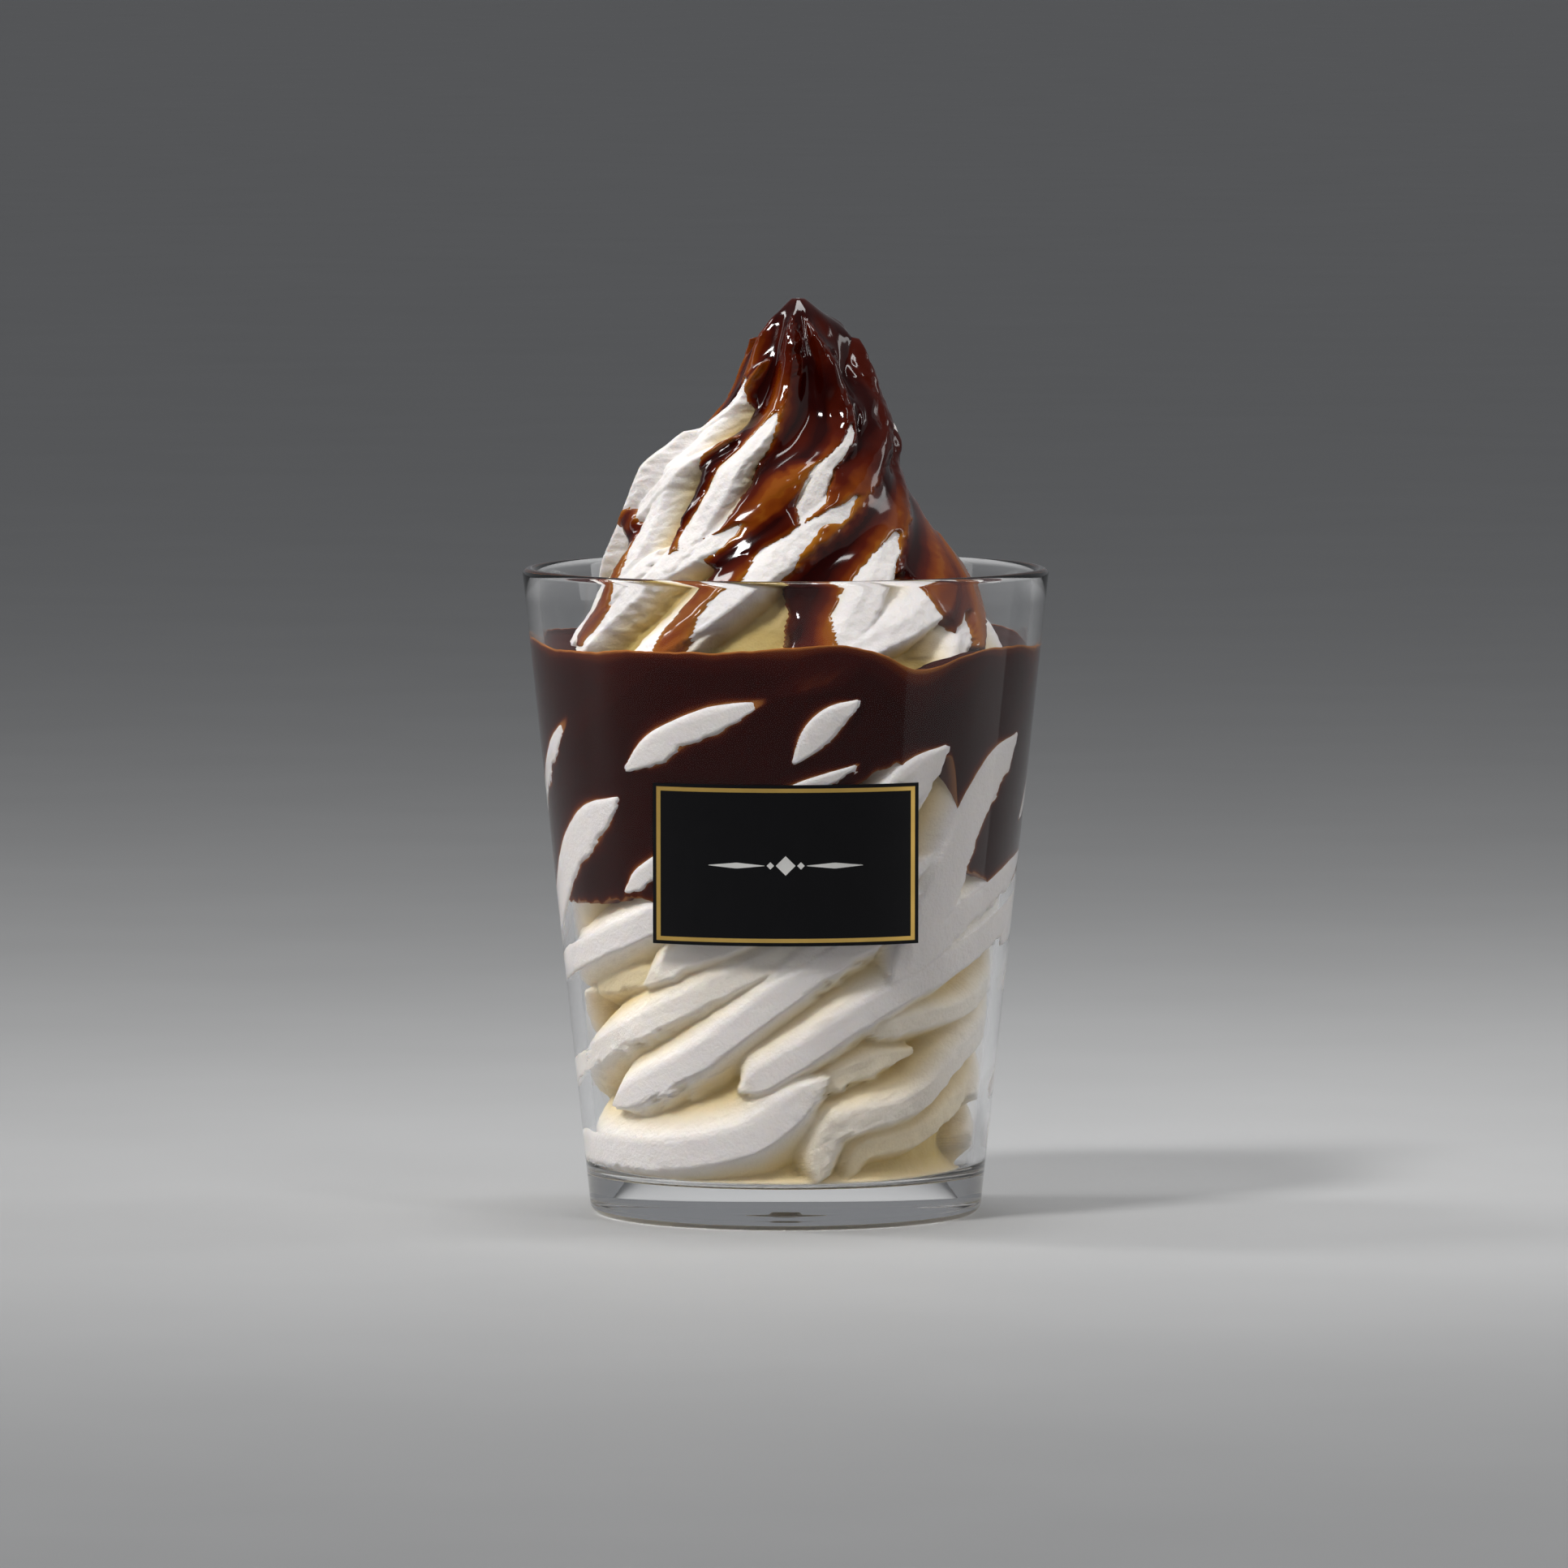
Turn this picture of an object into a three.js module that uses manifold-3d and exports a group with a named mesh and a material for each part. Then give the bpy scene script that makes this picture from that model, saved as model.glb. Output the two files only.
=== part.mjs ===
// A soft-serve sundae in a clear tumbler, as a standalone three.js scene graph.
// Millimetres, +Z up. The origin is the middle of the circle that the cup stands on,
// and the label faces -Y. Angles go round the cup in degrees from the label, and are
// positive towards +X.
import * as THREE from "three";
import { mergeVertices } from "three/addons/utils/BufferGeometryUtils.js";
import Module from "manifold-3d";

const wasm = await Module();
wasm.setup();

// ---- Driving dimensions -------------------------------------------------------------
const CUP = {
  height: 98.8,
  rimRadius: 40.2,
  baseRadius: 29.7,
  wall: 2.1,
  floor: 6.3, // top of the thick bottom
  heel: 2.0, // rounding where the wall meets the bottom, outside
  corner: 2.5, // the same inside
  recess: 1.0, // how far the middle of the bottom stands clear
  footInner: 24.5,
  sides: 56,
};
const GAP = 0.3; // clearance between neighbouring solids
const LABEL = { halfWidth: 20, bottom: 43.6, top: 68.1, thickness: 0.35 };
const PEAK_HEIGHT = 140;
const RIDGE = {
  depth: 5, // crest to crease, where the swirl is widest
  fullFrom: 24, // the crests' radius under which ridges get smaller
  flatAbove: 0.22, // of its half width, how much is flat above its way
  flatBelow: 0.4,
  taper: 9, // over which it narrows towards its end
  endWidth: 0.25, // how much of its width is left there
  endDrop: 0.6,
};
const CORE_DEPTH = 6; // from the crests to the core under all ridges
const SHOULDER = { bottom: 84, top: 86, slope: 2 }; // where the crests leave the wall
const ICE_GRID = { around: 74, up: 42 };
const SETTLED = { depth: 5, fade: 3 }; // how much fuller the creases are at the floor
const SAUCE = {
  skin: 0.6, // poured over a ridge
  fill: 2.4, // more than that in a crease
  top: 88.2, // where it stands against the wall
  ripple: 0.7,
  dip: 3, // how far its top sinks on the right of the label
  dipAt: 33, // degrees
  dipHalf: 11,
  reach: 7, // from the wall into the creases
  poolReach: 12, // the same at the top
  sides: 48,
};
const SEED = 7;

// The swirl's outline above the sauce: [height, radius of its ridges' crests].
const OUTLINE = [
  [84, 35], [88, 33.2], [96, 29], [106, 22.9], [114, 19.4], [118, 17.2], [122, 14.4],
  [126, 12], [130, 10.5], [134, 9.2], [136, 7.3], [138, 4], [PEAK_HEIGHT, 0.4],
];
// How far the swirl's middle line leans to +X: [height, lean].
const LEAN = [
  [88, 0], [108, -1.2], [114, -1.2], [118, 1], [124, 3], [130, 3.2], [PEAK_HEIGHT, 1.9],
];
// How far the ridges have turned round the cup: [height, degrees].
const TWIST = [
  [0, 0], [50, 165], [80, 235], [120, 305], [PEAK_HEIGHT, 325],
];
// The ridges in the cup on its near side, each rising to the right: half width, set back
// from the wall at the foot and at the top, then angle and height of two to five places.
// A ridge set back by less than nothing is pressed flat on the wall.
const CUP_RIDGES = [
  [3.8, 2.0, 1.4, 20, 7, 26, 12.2, 43, 13.5, 70, 19, 104, 24],
  [4.4, 0.6, 0.2, 10, 7, 14, 15.5, 42, 19.2, 58, 25.5, 100, 36],
  [3.8, 1.4, 1.0, 4, 18.5, 15, 23, 27, 25.5, 41, 27],
  [6.2, -0.3, -0.3, -104, 11, -52, 11, -15, 13.5, 11, 23],
  [5.0, -0.4, -0.3, -60, 18, -30, 25, 7, 39.4, 42, 52],
  [5.0, -0.2, -0.4, -13, 21.5, 4, 27, 28, 35, 100, 51],
  [3.6, 0.8, 0.4, 24, 30, 40, 31.5, 60, 33, 104, 43],
  [4.8, -0.3, 0.4, -104, 20, -72, 25, -36, 33, 12, 46],
  [3.8, 2.4, 2, -90, 34.5, -60, 37, -34, 39],
  [5.0, -0.3, -0.2, -104, 36, -66, 41.5, -40, 46.5, -16, 54],
  [4.4, 0.3, 0, -43, 37, -29, 41.5, -16, 44, 12, 53],
  [4.4, 0, -0.2, -8, 35.5, 5, 41.5, 14, 45, 42, 57],
  [5.2, -1.3, -1.1, -104, 41, -84, 48, -67, 57, -46, 65],
  [3.2, -0.6, -0.6, -46, 51, -34, 55.5, -10, 63, 18, 71],
  [3.6, -0.6, -0.4, -98, 60, -64, 77],
  [4.2, -1.2, -0.4, -42, 70, -26, 75.5, -5, 80.8],
  [3.6, -1.0, -1.1, 2, 71.5, 9, 76.5, 17, 80.5],
  [5.4, -1.4, -1.0, 4, 45, 20, 55, 30, 66, 42, 73],
  [5.4, -1.4, -1.0, 30, 38, 44, 50, 56, 65, 72, 74],
  [4.4, -0.8, -0.5, 30, 38, 53, 47, 92, 56],
  [4, 1.5, 1.5, 58, 70, 104, 90], [4, 1.8, 1.8, -70, 72, -20, 92],
  [4, 2, 2, -16, 78, 36, 95], [4, 2.2, 2.2, 26, 74, 76, 96],
];
// The ridges of the peak's near side: the same three sizes, then the half width that the
// poured sauce leaves bare and the heights between which it does, then the places.
const PEAK_RIDGES = [
  [5.0, 0.3, 1.8, 6.0, 60, 128, -84, 84, -64, 104, -66, 114, -70, 124, -64, 139],
  [4.2, 0.8, 1.2, 3.6, 102.5, 123, -62, 92, -38, 103, -25, 113, -20, 122, -16, 139],
  [4.0, 1.6, 1.8, 2.1, 106.5, 121, -4, 97, 10, 107, 24, 114.5, 35, 121, 26, 129, 7, 138],
  [4.6, 0.6, 0.8, 3.0, 60, 110.5, -50, 83, -24, 93, 5, 103, 34, 110, 60, 117, 96, 134],
  [4.4, 0.6, 1.6, 3.0, 60, 106.5, -76, 84, -60, 93, -45, 99, -17, 106, 22, 116],
  [4.6, 0.8, 0.8, 3.4, 60, 105, 6, 83, 26, 95, 42, 102, 70, 110, 128, 130],
  [4.4, 0.6, 0.6, 3.2, 60, 94, -2, 82, 28, 90, 50, 94, 140, 120],
  [4.0, 0.6, 0.6, 4.0, 60, 100, -104, 80, -69, 93, -50, 102],
  [4.0, 1.2, 0.4, 3.0, 60, 93, 40, 80, 55, 88, 66, 94, 96, 106],
];
// Two lobes that stand out on the left and on the right, in the same form.
const LOBES = [
  [4.5, -0.5, -2.2, 5.0, 60, 130, -104, 96, -92, 107, -78, 119.5],
  [4.6, -0.2, -0.8, 0, 60, 60, 62, 88, 78, 97, 90, 104],
];
// The drips that run from the poured sauce over the ridges: half width, then the places.
const DRIPS = [
  [2.4, -34, 86, -30, 92, -24, 96.5, -15, 101], [3.6, 6, 85, 8, 92, 11, 98, 22, 103],
  [2.0, -72, 89, -66, 94, -68, 99, -84, 106], [4.5, 158, 86, 146, 104, 150, 112],
  [4.0, 196, 93, 200, 108], [4.5, 238, 86, 228, 100, 236, 110],
];
// The lower edge of the poured sauce: [angle, height].
const POUR_EDGE = [
  [-180, 104], [-130, 98], [-96, 100], [-72, 110], [-50, 108], [-41, 100.5], [-34, 103],
  [-24, 98.5], [-12, 97], [-2, 98], [4, 90], [12, 86], [20, 90], [27, 97], [44, 99],
  [54, 90], [64, 86], [108, 86], [130, 95], [150, 101], [180, 104],
];
// The lower edge of the sauce against the wall: [angle, height].
const SAUCE_EDGE = [
  [-180, 52], [-140, 58], [-100, 49], [-34, 50], [2, 60], [30, 71], [44, 71], [52, 54],
  [80, 51], [120, 60], [150, 49], [180, 52],
];

// ---- Helpers ------------------------------------------------------------------------
const radians = THREE.MathUtils.degToRad;

function seededRandom(seed) {
  let state = seed >>> 0;
  return () => {
    state = (Math.imul(state, 1664525) + 1013904223) >>> 0;
    return state / 2 ** 32;
  };
}

// A smooth curve through [x, y] pairs that never overshoots them.
function smoothThrough(pairs) {
  const rise = pairs.slice(1).map(([x, y], i) => (y - pairs[i][1]) / (x - pairs[i][0]));
  const slope = pairs.map((_, i) => {
    if (i === 0) return rise[0];
    if (i === pairs.length - 1) return rise[i - 1];
    const product = rise[i - 1] * rise[i];
    return product <= 0 ? 0 : (2 * product) / (rise[i - 1] + rise[i]);
  });
  return (x) => {
    let i = pairs.findIndex(([end]) => end > x) - 1;
    if (i === -2) i = pairs.length - 2;
    if (i < 0) i = 0;
    const [x0, y0] = pairs[i];
    const [x1, y1] = pairs[i + 1];
    const span = x1 - x0;
    const t = THREE.MathUtils.clamp((x - x0) / span, 0, 1);
    const back = 1 - t;
    return y0 * (1 + 2 * t) * back * back + slope[i] * span * t * back * back
      + y1 * t * t * (3 - 2 * t) + slope[i + 1] * span * t * t * (t - 1);
  };
}

const outline = smoothThrough(OUTLINE);
const lean = smoothThrough([[0, 0], ...LEAN]);
const twist = smoothThrough(TWIST);
const sauceEdge = smoothThrough(SAUCE_EDGE);
const pourEdge = smoothThrough(POUR_EDGE);

const outerRadius = (z) => CUP.baseRadius + ((CUP.rimRadius - CUP.baseRadius) * z) / CUP.height;
const innerRadius = (z) => outerRadius(z) - CUP.wall;

// The inner radius with the rounded corner at the floor.
function hollowRadius(z) {
  const above = z - CUP.floor;
  if (above >= CUP.corner) return innerRadius(z);
  const up = CUP.corner - Math.max(0, above);
  return innerRadius(z) - CUP.corner + Math.sqrt(CUP.corner ** 2 - up ** 2);
}

// The angle of a column of points, which turns with the ridges.
const columnAngle = (column, around, z) => (360 * column) / around + twist(z);

// The crests' radius: the cup's wall, then the outline of the peak.
function crestRadius(z) {
  const free = outline(Math.max(z, SHOULDER.bottom))
    + SHOULDER.slope * Math.max(0, SHOULDER.top - z);
  return Math.min(innerRadius(z), free);
}

// A closed solid round a leaning middle line. Each ring has its height and its radii,
// and the columns turn with the ridges.
function swirlSolid(rings, swell = 0) {
  const around = rings[0].radii.length;
  const positions = [];
  const index = [];
  const addPoint = (angle, z, radius) => {
    const a = radians(angle);
    positions.push(lean(z) + radius * Math.sin(a), -radius * Math.cos(a), z);
  };
  for (const { z, radii } of rings) {
    radii.forEach((radius, i) => addPoint(columnAngle(i, around, z), z, radius + swell));
  }
  const bottom = positions.length / 3;
  addPoint(0, rings[0].z, 0);
  addPoint(0, rings.at(-1).z, 0);
  for (let i = 0; i < around; i++) {
    const next = (i + 1) % around;
    for (let row = 0; row < rings.length - 1; row++) {
      const [a, b] = [row * around + i, row * around + next];
      const [c, d] = [a + around, b + around];
      index.push(a, b, d, a, d, c);
    }
    const last = (rings.length - 1) * around;
    index.push(bottom, next, i, bottom + 1, last + i, last + next);
  }
  const geometry = new THREE.BufferGeometry();
  geometry.setAttribute("position", new THREE.Float32BufferAttribute(positions, 3));
  geometry.setIndex(index);
  return geometry;
}

function toManifold(geometry) {
  const bare = geometry.clone();
  bare.deleteAttribute("normal");
  bare.deleteAttribute("uv");
  const merged = mergeVertices(bare);
  return new wasm.Manifold(new wasm.Mesh({
    numProp: 3,
    vertProperties: new Float32Array(merged.attributes.position.array),
    triVerts: new Uint32Array(merged.index.array),
  }));
}

function toGeometry(solid) {
  const mesh = solid.getMesh();
  const geometry = new THREE.BufferGeometry();
  geometry.setAttribute("position", new THREE.BufferAttribute(mesh.vertProperties, 3));
  geometry.setIndex(new THREE.BufferAttribute(mesh.triVerts, 1));
  return geometry;
}

const largestPiece = (solid) =>
  solid.decompose().reduce((best, piece) => (piece.volume() > best.volume() ? piece : best));

function named(name, geometry, material) {
  const mesh = new THREE.Mesh(geometry, material);
  mesh.name = name;
  geometry.computeVertexNormals();
  return mesh;
}

// ---- Ways over the swirl's surface ----------------------------------------------------
// A way is a smooth run of [angle, height] points through a few places. Distances to it
// are measured on the surface.
const WAY_STEPS = 14;

function smoothWay(places) {
  const count = places.length / 2;
  const column = (offset) =>
    smoothThrough(Array.from({ length: count }, (_, i) => [i, places[2 * i + offset]]));
  const [angleAt, heightAt] = [column(0), column(1)];
  return Array.from({ length: WAY_STEPS + 1 }, (_, i) => {
    const share = ((count - 1) * i) / WAY_STEPS;
    return [angleAt(share), heightAt(share)];
  });
}

function slantFactor(z) {
  const slope = crestRadius(z + 0.5) - crestRadius(z - 0.5);
  return Math.sqrt(1 + slope * slope);
}

// The distance from a place to a way, the side of it (1 above, -1 below, between these
// past an end) and how far along the way the nearest point is, from 0 to 1.
function nearestOnWay(way, angle, z) {
  const perDegree = radians(Math.max(crestRadius(z), 1.5));
  const slant = slantFactor(z);
  let best = { distance: Infinity, side: 1, along: 0 };
  for (let i = 0; i < way.length - 1; i++) {
    const [[a0, z0], [a1, z1]] = [way[i], way[i + 1]];
    const middle = (z0 + z1) / 2;
    const turn = THREE.MathUtils.euclideanModulo(angle - a0 + 180, 360) - 180;
    const [px, py] = [turn * perDegree, (z - z0) * slant];
    const bx = (a1 - a0) * radians(Math.max(crestRadius(middle), 2));
    const by = (z1 - z0) * slantFactor(middle);
    const t = THREE.MathUtils.clamp((px * bx + py * by) / (bx * bx + by * by + 1e-9), 0, 1);
    const [ex, ey] = [px - t * bx, py - t * by];
    const distance = Math.hypot(ex, ey);
    if (distance < best.distance) {
      const side = (bx * ey - by * ex) / (Math.hypot(bx, by) * distance + 1e-9);
      best = { distance, side, along: (i + t) / (way.length - 1) };
    }
  }
  return best;
}

function wayLength(way) {
  return way.slice(1).reduce((length, [a1, z1], i) => {
    const [a0, z0] = way[i];
    const middle = (z0 + z1) / 2;
    const across = (a1 - a0) * radians(crestRadius(middle));
    return length + Math.hypot(across, (z1 - z0) * slantFactor(middle));
  }, 0);
}

// ---- The soft serve -------------------------------------------------------------------
const cupRidge = ([halfWidth, footBack, topBack, ...places]) =>
  ({ way: smoothWay(places), halfWidth, footBack, topBack, bare: 0 });
const peakRidge = ([halfWidth, footBack, topBack, bare, bareLow, bareHigh, ...places]) =>
  ({ way: smoothWay(places), halfWidth, footBack, topBack, bare, bareLow, bareHigh });

// The near side's ridges, the same again on the far side with small seeded changes, and
// the two lobes.
function makeRidges() {
  const random = seededRandom(SEED);
  const near = [...CUP_RIDGES.map(cupRidge), ...PEAK_RIDGES.map(peakRidge)];
  const far = near.map((ridge) => {
    const turned = 180 + 8 * (random() - 0.5);
    const raised = 3 * (random() - 0.5);
    const widened = 1 + 0.12 * (random() - 0.5);
    const way = ridge.way.map(([angle, z]) => {
      const fade = THREE.MathUtils.clamp((132 - z) / 20, 0, 1);
      return [angle + turned, z + raised * fade];
    });
    return { ...ridge, way, halfWidth: ridge.halfWidth * widened };
  });
  return [...near, ...far, ...LOBES.map(peakRidge)]
    .map((ridge) => ({ ...ridge, taper: Math.min(0.45, RIDGE.taper / wayLength(ridge.way)) }));
}
const ridges = makeRidges();

// Each ridge is flat on top, gentle above and, past its lip, steep below.
function ridgeRadius(ridge, angle, z) {
  const { distance, side, along } = nearestOnWay(ridge.way, angle, z);
  const crest = crestRadius(z);
  const size = THREE.MathUtils.clamp(crest / RIDGE.fullFrom, 0.3, 1);
  const toEnd = THREE.MathUtils.clamp(Math.min(along, 1 - along) / ridge.taper, 0, 1);
  const width = ridge.halfWidth * size
    * THREE.MathUtils.lerp(RIDGE.endWidth, 1, toEnd * (2 - toEnd));
  const above = Math.max(0, distance / width - RIDGE.flatAbove);
  const below = Math.max(0, distance / width - RIDGE.flatBelow);
  const up = 0.5 + 0.5 * side;
  const fall = up * 0.75 * above ** 1.5 + (1 - up) * (1.1 * below + 0.3 * below ** 2);
  const back = THREE.MathUtils.lerp(ridge.footBack, ridge.topBack, along);
  return crest - back - RIDGE.depth * size * Math.min(fall, 4)
    - RIDGE.endDrop * (1 - toEnd) ** 2;
}

function swirlRadius(angle, z) {
  const crest = crestRadius(z);
  const settled = SETTLED.depth * Math.exp(-(z - CUP.floor) / SETTLED.fade);
  const core = crest - Math.min(CORE_DEPTH, crest / 2) + settled;
  return ridges.reduce((radius, ridge) => Math.max(radius, ridgeRadius(ridge, angle, z)), core);
}

// How far inside the poured sauce a place is, in mm, and less than nothing outside it.
const drips = DRIPS.map(([halfWidth, ...places]) => ({ way: smoothWay(places), halfWidth }));
function pourCover(angle, z) {
  const around = THREE.MathUtils.euclideanModulo(angle + 180, 360) - 180;
  let inside = 0.6 * (z - pourEdge(around));
  for (const { way, bare, bareLow, bareHigh } of ridges.filter((ridge) => ridge.bare > 0)) {
    const fading = THREE.MathUtils.clamp((bareHigh - z) / 8, 0, 1) ** 0.8
      * THREE.MathUtils.clamp((z - bareLow) / 3, 0, 1);
    if (fading > 0) {
      inside = Math.min(inside, nearestOnWay(way, angle, z).distance - bare * fading);
    }
  }
  for (const { way, halfWidth } of drips) {
    inside = Math.max(inside, halfWidth - nearestOnWay(way, angle, z).distance);
  }
  return inside;
}

// How thick the poured sauce lies on the peak. It fills the creases between ridges.
function pouredThickness(angle, z, swirl) {
  const share = THREE.MathUtils.smoothstep(pourCover(angle, z), -1, 2.5);
  const crease = THREE.MathUtils.clamp(crestRadius(z) - swirl - 1, 0, 4) / 4;
  const nearTip = THREE.MathUtils.clamp((PEAK_HEIGHT - z) / 6, 0, 1);
  return share * (SAUCE.skin + SAUCE.fill * crease) * nearTip;
}

function iceCreamRadius(angle, z) {
  const swirl = swirlRadius(angle, z);
  const limit = (z < CUP.height ? hollowRadius(z) : Infinity) - GAP;
  const poured = z > SAUCE.top - 2 ? pouredThickness(angle, z, swirl) : 0;
  return Math.max(0.3, Math.min(swirl + poured, limit));
}

const iceRings = Array.from({ length: ICE_GRID.up }, (_, row) => {
  const z = THREE.MathUtils.lerp(CUP.floor + GAP, PEAK_HEIGHT, row / (ICE_GRID.up - 1));
  const radii = Array.from(
    { length: ICE_GRID.around },
    (_, column) => iceCreamRadius(columnAngle(column, ICE_GRID.around, z), z),
  );
  return { z, radii };
});

// ---- The sauce between the swirl and the wall -------------------------------------------
// A ring against the wall, cut by the swirl with clearance all round. Ridges that press
// on the wall leave holes in it.
function sauceSection(angle) {
  const a = radians(angle);
  const dip = SAUCE.dip * Math.exp(-(((angle - SAUCE.dipAt) / SAUCE.dipHalf) ** 2));
  const top = SAUCE.top + SAUCE.ripple * (Math.sin(3 * a + 1) + 0.5 * Math.sin(7 * a)) - dip;
  const bottom = sauceEdge(angle);
  const middle = (top + bottom) / 2;
  const deepest = innerRadius(bottom) - SAUCE.reach;
  return [
    [innerRadius(bottom) - GAP, bottom],
    [innerRadius(middle) - GAP, middle],
    [innerRadius(top) - GAP, top],
    [innerRadius(top) - SAUCE.poolReach, top],
    [deepest, middle],
    [deepest, bottom],
  ];
}

function sauceRing() {
  const positions = [];
  const index = [];
  const count = sauceSection(0).length;
  for (let i = 0; i < SAUCE.sides; i++) {
    const angle = -180 + (360 * i) / SAUCE.sides;
    const a = radians(angle);
    for (const [radius, z] of sauceSection(angle)) {
      positions.push(radius * Math.sin(a), -radius * Math.cos(a), z);
    }
    const next = (i + 1) % SAUCE.sides;
    for (let corner = 0; corner < count; corner++) {
      const after = (corner + 1) % count;
      const [p, q] = [i * count + corner, next * count + corner];
      const [r, s] = [i * count + after, next * count + after];
      index.push(p, q, s, p, s, r);
    }
  }
  const geometry = new THREE.BufferGeometry();
  geometry.setAttribute("position", new THREE.Float32BufferAttribute(positions, 3));
  geometry.setIndex(index);
  return geometry;
}

function sauceGeometry() {
  const cutter = swirlSolid(iceRings, 1.2 * GAP);
  return toGeometry(largestPiece(toManifold(sauceRing()).subtract(toManifold(cutter))));
}

// ---- The cup and its label ------------------------------------------------------------
function arc(centreX, centreZ, radius, fromDegrees, toDegrees, steps) {
  return Array.from({ length: steps + 1 }, (_, i) => {
    const a = radians(THREE.MathUtils.lerp(fromDegrees, toDegrees, i / steps));
    return [centreX + radius * Math.cos(a), centreZ + radius * Math.sin(a)];
  });
}

function cupGeometry() {
  const { height, wall, floor, heel, corner, recess, footInner, sides } = CUP;
  const lip = wall / 2;
  const lipCentre = height - lip;
  const profile = [
    [0, recess],
    [footInner - 1.5, recess],
    [footInner, 0],
    ...arc(outerRadius(heel) - heel, heel, heel, -90, 0, 3),
    ...arc(outerRadius(lipCentre) - lip, lipCentre, lip, 0, 180, 4),
    ...arc(innerRadius(floor + corner) - corner, floor + corner, corner, 0, -90, 3),
    [0, floor],
  ];
  const points = profile.map(([r, z]) => new THREE.Vector2(r, z));
  const geometry = new THREE.LatheGeometry(points, sides);
  geometry.rotateX(Math.PI / 2);
  return toGeometry(toManifold(geometry));
}

// The label is a rectangle bent round the front of the wall.
function labelGeometry() {
  const [columns, rows] = [20, 2];
  const bent = (out) => (u, v, target) => {
    const z = THREE.MathUtils.lerp(LABEL.bottom, LABEL.top, v);
    const radius = outerRadius(z) + GAP + out;
    const a = Math.asin(LABEL.halfWidth / radius) * (2 * u - 1);
    target.set(radius * Math.sin(a), -radius * Math.cos(a), z);
  };
  const block = new THREE.BoxGeometry(1, 1, 1, columns, 1, rows);
  const place = block.attributes.position;
  const point = new THREE.Vector3();
  for (let i = 0; i < place.count; i++) {
    const out = place.getY(i) < 0 ? LABEL.thickness : 0;
    bent(out)(place.getX(i) + 0.5, place.getZ(i) + 0.5, point);
    place.setXYZ(i, point.x, point.y, point.z);
  }
  return toGeometry(toManifold(block));
}

// ---- The sundae -----------------------------------------------------------------------
const clearPlastic = new THREE.MeshStandardMaterial({
  color: 0xeef2f4, roughness: 0.05, metalness: 0, transparent: true, opacity: 0.25,
});
const vanilla = new THREE.MeshStandardMaterial({ color: 0xf3ead9, roughness: 0.7, metalness: 0 });
const chocolate = new THREE.MeshStandardMaterial({ color: 0x330a05, roughness: 0.15, metalness: 0 });
const blackPaper = new THREE.MeshStandardMaterial({ color: 0x0b0b0c, roughness: 0.45, metalness: 0 });

const sundae = new THREE.Group();
sundae.add(
  named("cup", cupGeometry(), clearPlastic),
  named("label", labelGeometry(), blackPaper),
  named("ice_cream", swirlSolid(iceRings), vanilla),
  named("sauce_band", sauceGeometry(), chocolate),
);
export default sundae;
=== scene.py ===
# %% [markdown]
# # A soft-serve sundae in a clear tumbler
# The real thing is a rigid clear cup. Soft ice cream is piped into it in one turning
# rope, so its star-shaped nozzle leaves ridges that climb to the right. Chocolate sauce
# runs down between the wall and the ridges, and more is poured over the peak. We load
# the engineering solids first, because every visible piece has to sit where they are.

# %% Load the solids and note their size
import math

import bpy
import numpy as np
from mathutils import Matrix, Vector, noise


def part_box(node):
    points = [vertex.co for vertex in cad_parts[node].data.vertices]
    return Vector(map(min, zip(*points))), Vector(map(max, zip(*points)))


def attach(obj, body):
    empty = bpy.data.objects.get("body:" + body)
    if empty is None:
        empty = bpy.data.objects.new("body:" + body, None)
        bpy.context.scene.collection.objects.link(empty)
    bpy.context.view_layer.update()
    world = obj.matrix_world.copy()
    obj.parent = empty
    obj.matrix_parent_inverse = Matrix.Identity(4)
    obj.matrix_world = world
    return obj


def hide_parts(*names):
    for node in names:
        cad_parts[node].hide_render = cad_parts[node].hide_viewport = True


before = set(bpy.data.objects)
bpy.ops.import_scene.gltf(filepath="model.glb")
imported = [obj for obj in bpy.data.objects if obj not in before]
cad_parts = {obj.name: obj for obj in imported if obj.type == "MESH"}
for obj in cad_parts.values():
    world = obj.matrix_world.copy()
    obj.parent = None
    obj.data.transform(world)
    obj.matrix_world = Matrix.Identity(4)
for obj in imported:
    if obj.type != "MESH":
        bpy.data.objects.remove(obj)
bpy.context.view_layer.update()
MM = 0.001
cup_low, cup_high = (np.array(corner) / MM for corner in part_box("cup"))
_, ice_high = (np.array(corner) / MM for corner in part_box("ice_cream"))
print("cup from", cup_low.round(1), "to", cup_high.round(1), "mm")

# %% [markdown]
# ## The driving sizes
# The scene works in millimetres and turns them into metres only when it makes a mesh.
# The heights and radii come from the solids where they can, and the rest repeats the
# few numbers that the solids were made from. Angles go round the cup in degrees from
# the label, positive to the right.

# %% Sizes of the cup, the sauce and the swirl
CUP_HEIGHT = float(cup_high[2])
RIM_RADIUS = 40.2
PEAK_HEIGHT = float(ice_high[2])
BASE_RADIUS = 29.7
WALL = 2.1
FLOOR = 6.3
HEEL = 2.0
CORNER = 2.5
RECESS = 1.0
FOOT_INNER = 24.5
RIDGE_DEPTH = 5.0  # crest to crease, where the swirl is widest
RIDGE_FULL_FROM = 24.0  # the crests' radius under which ridges get smaller
RIDGE_FLAT_ABOVE = 0.22  # of its half width, how much is flat above its way
RIDGE_FLAT_BELOW = 0.4
RIDGE_TAPER = 9.0  # over which a ridge narrows towards its end
RIDGE_END_WIDTH = 0.25  # how much of its width is left there
RIDGE_END_DROP = 0.6
CORE_DEPTH = 6.0  # from the crests to the core under all ridges
SHOULDER_BOTTOM = 84.0  # where the crests leave the wall
SHOULDER_TOP = 86.0
SHOULDER_SLOPE = 2.0
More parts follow.
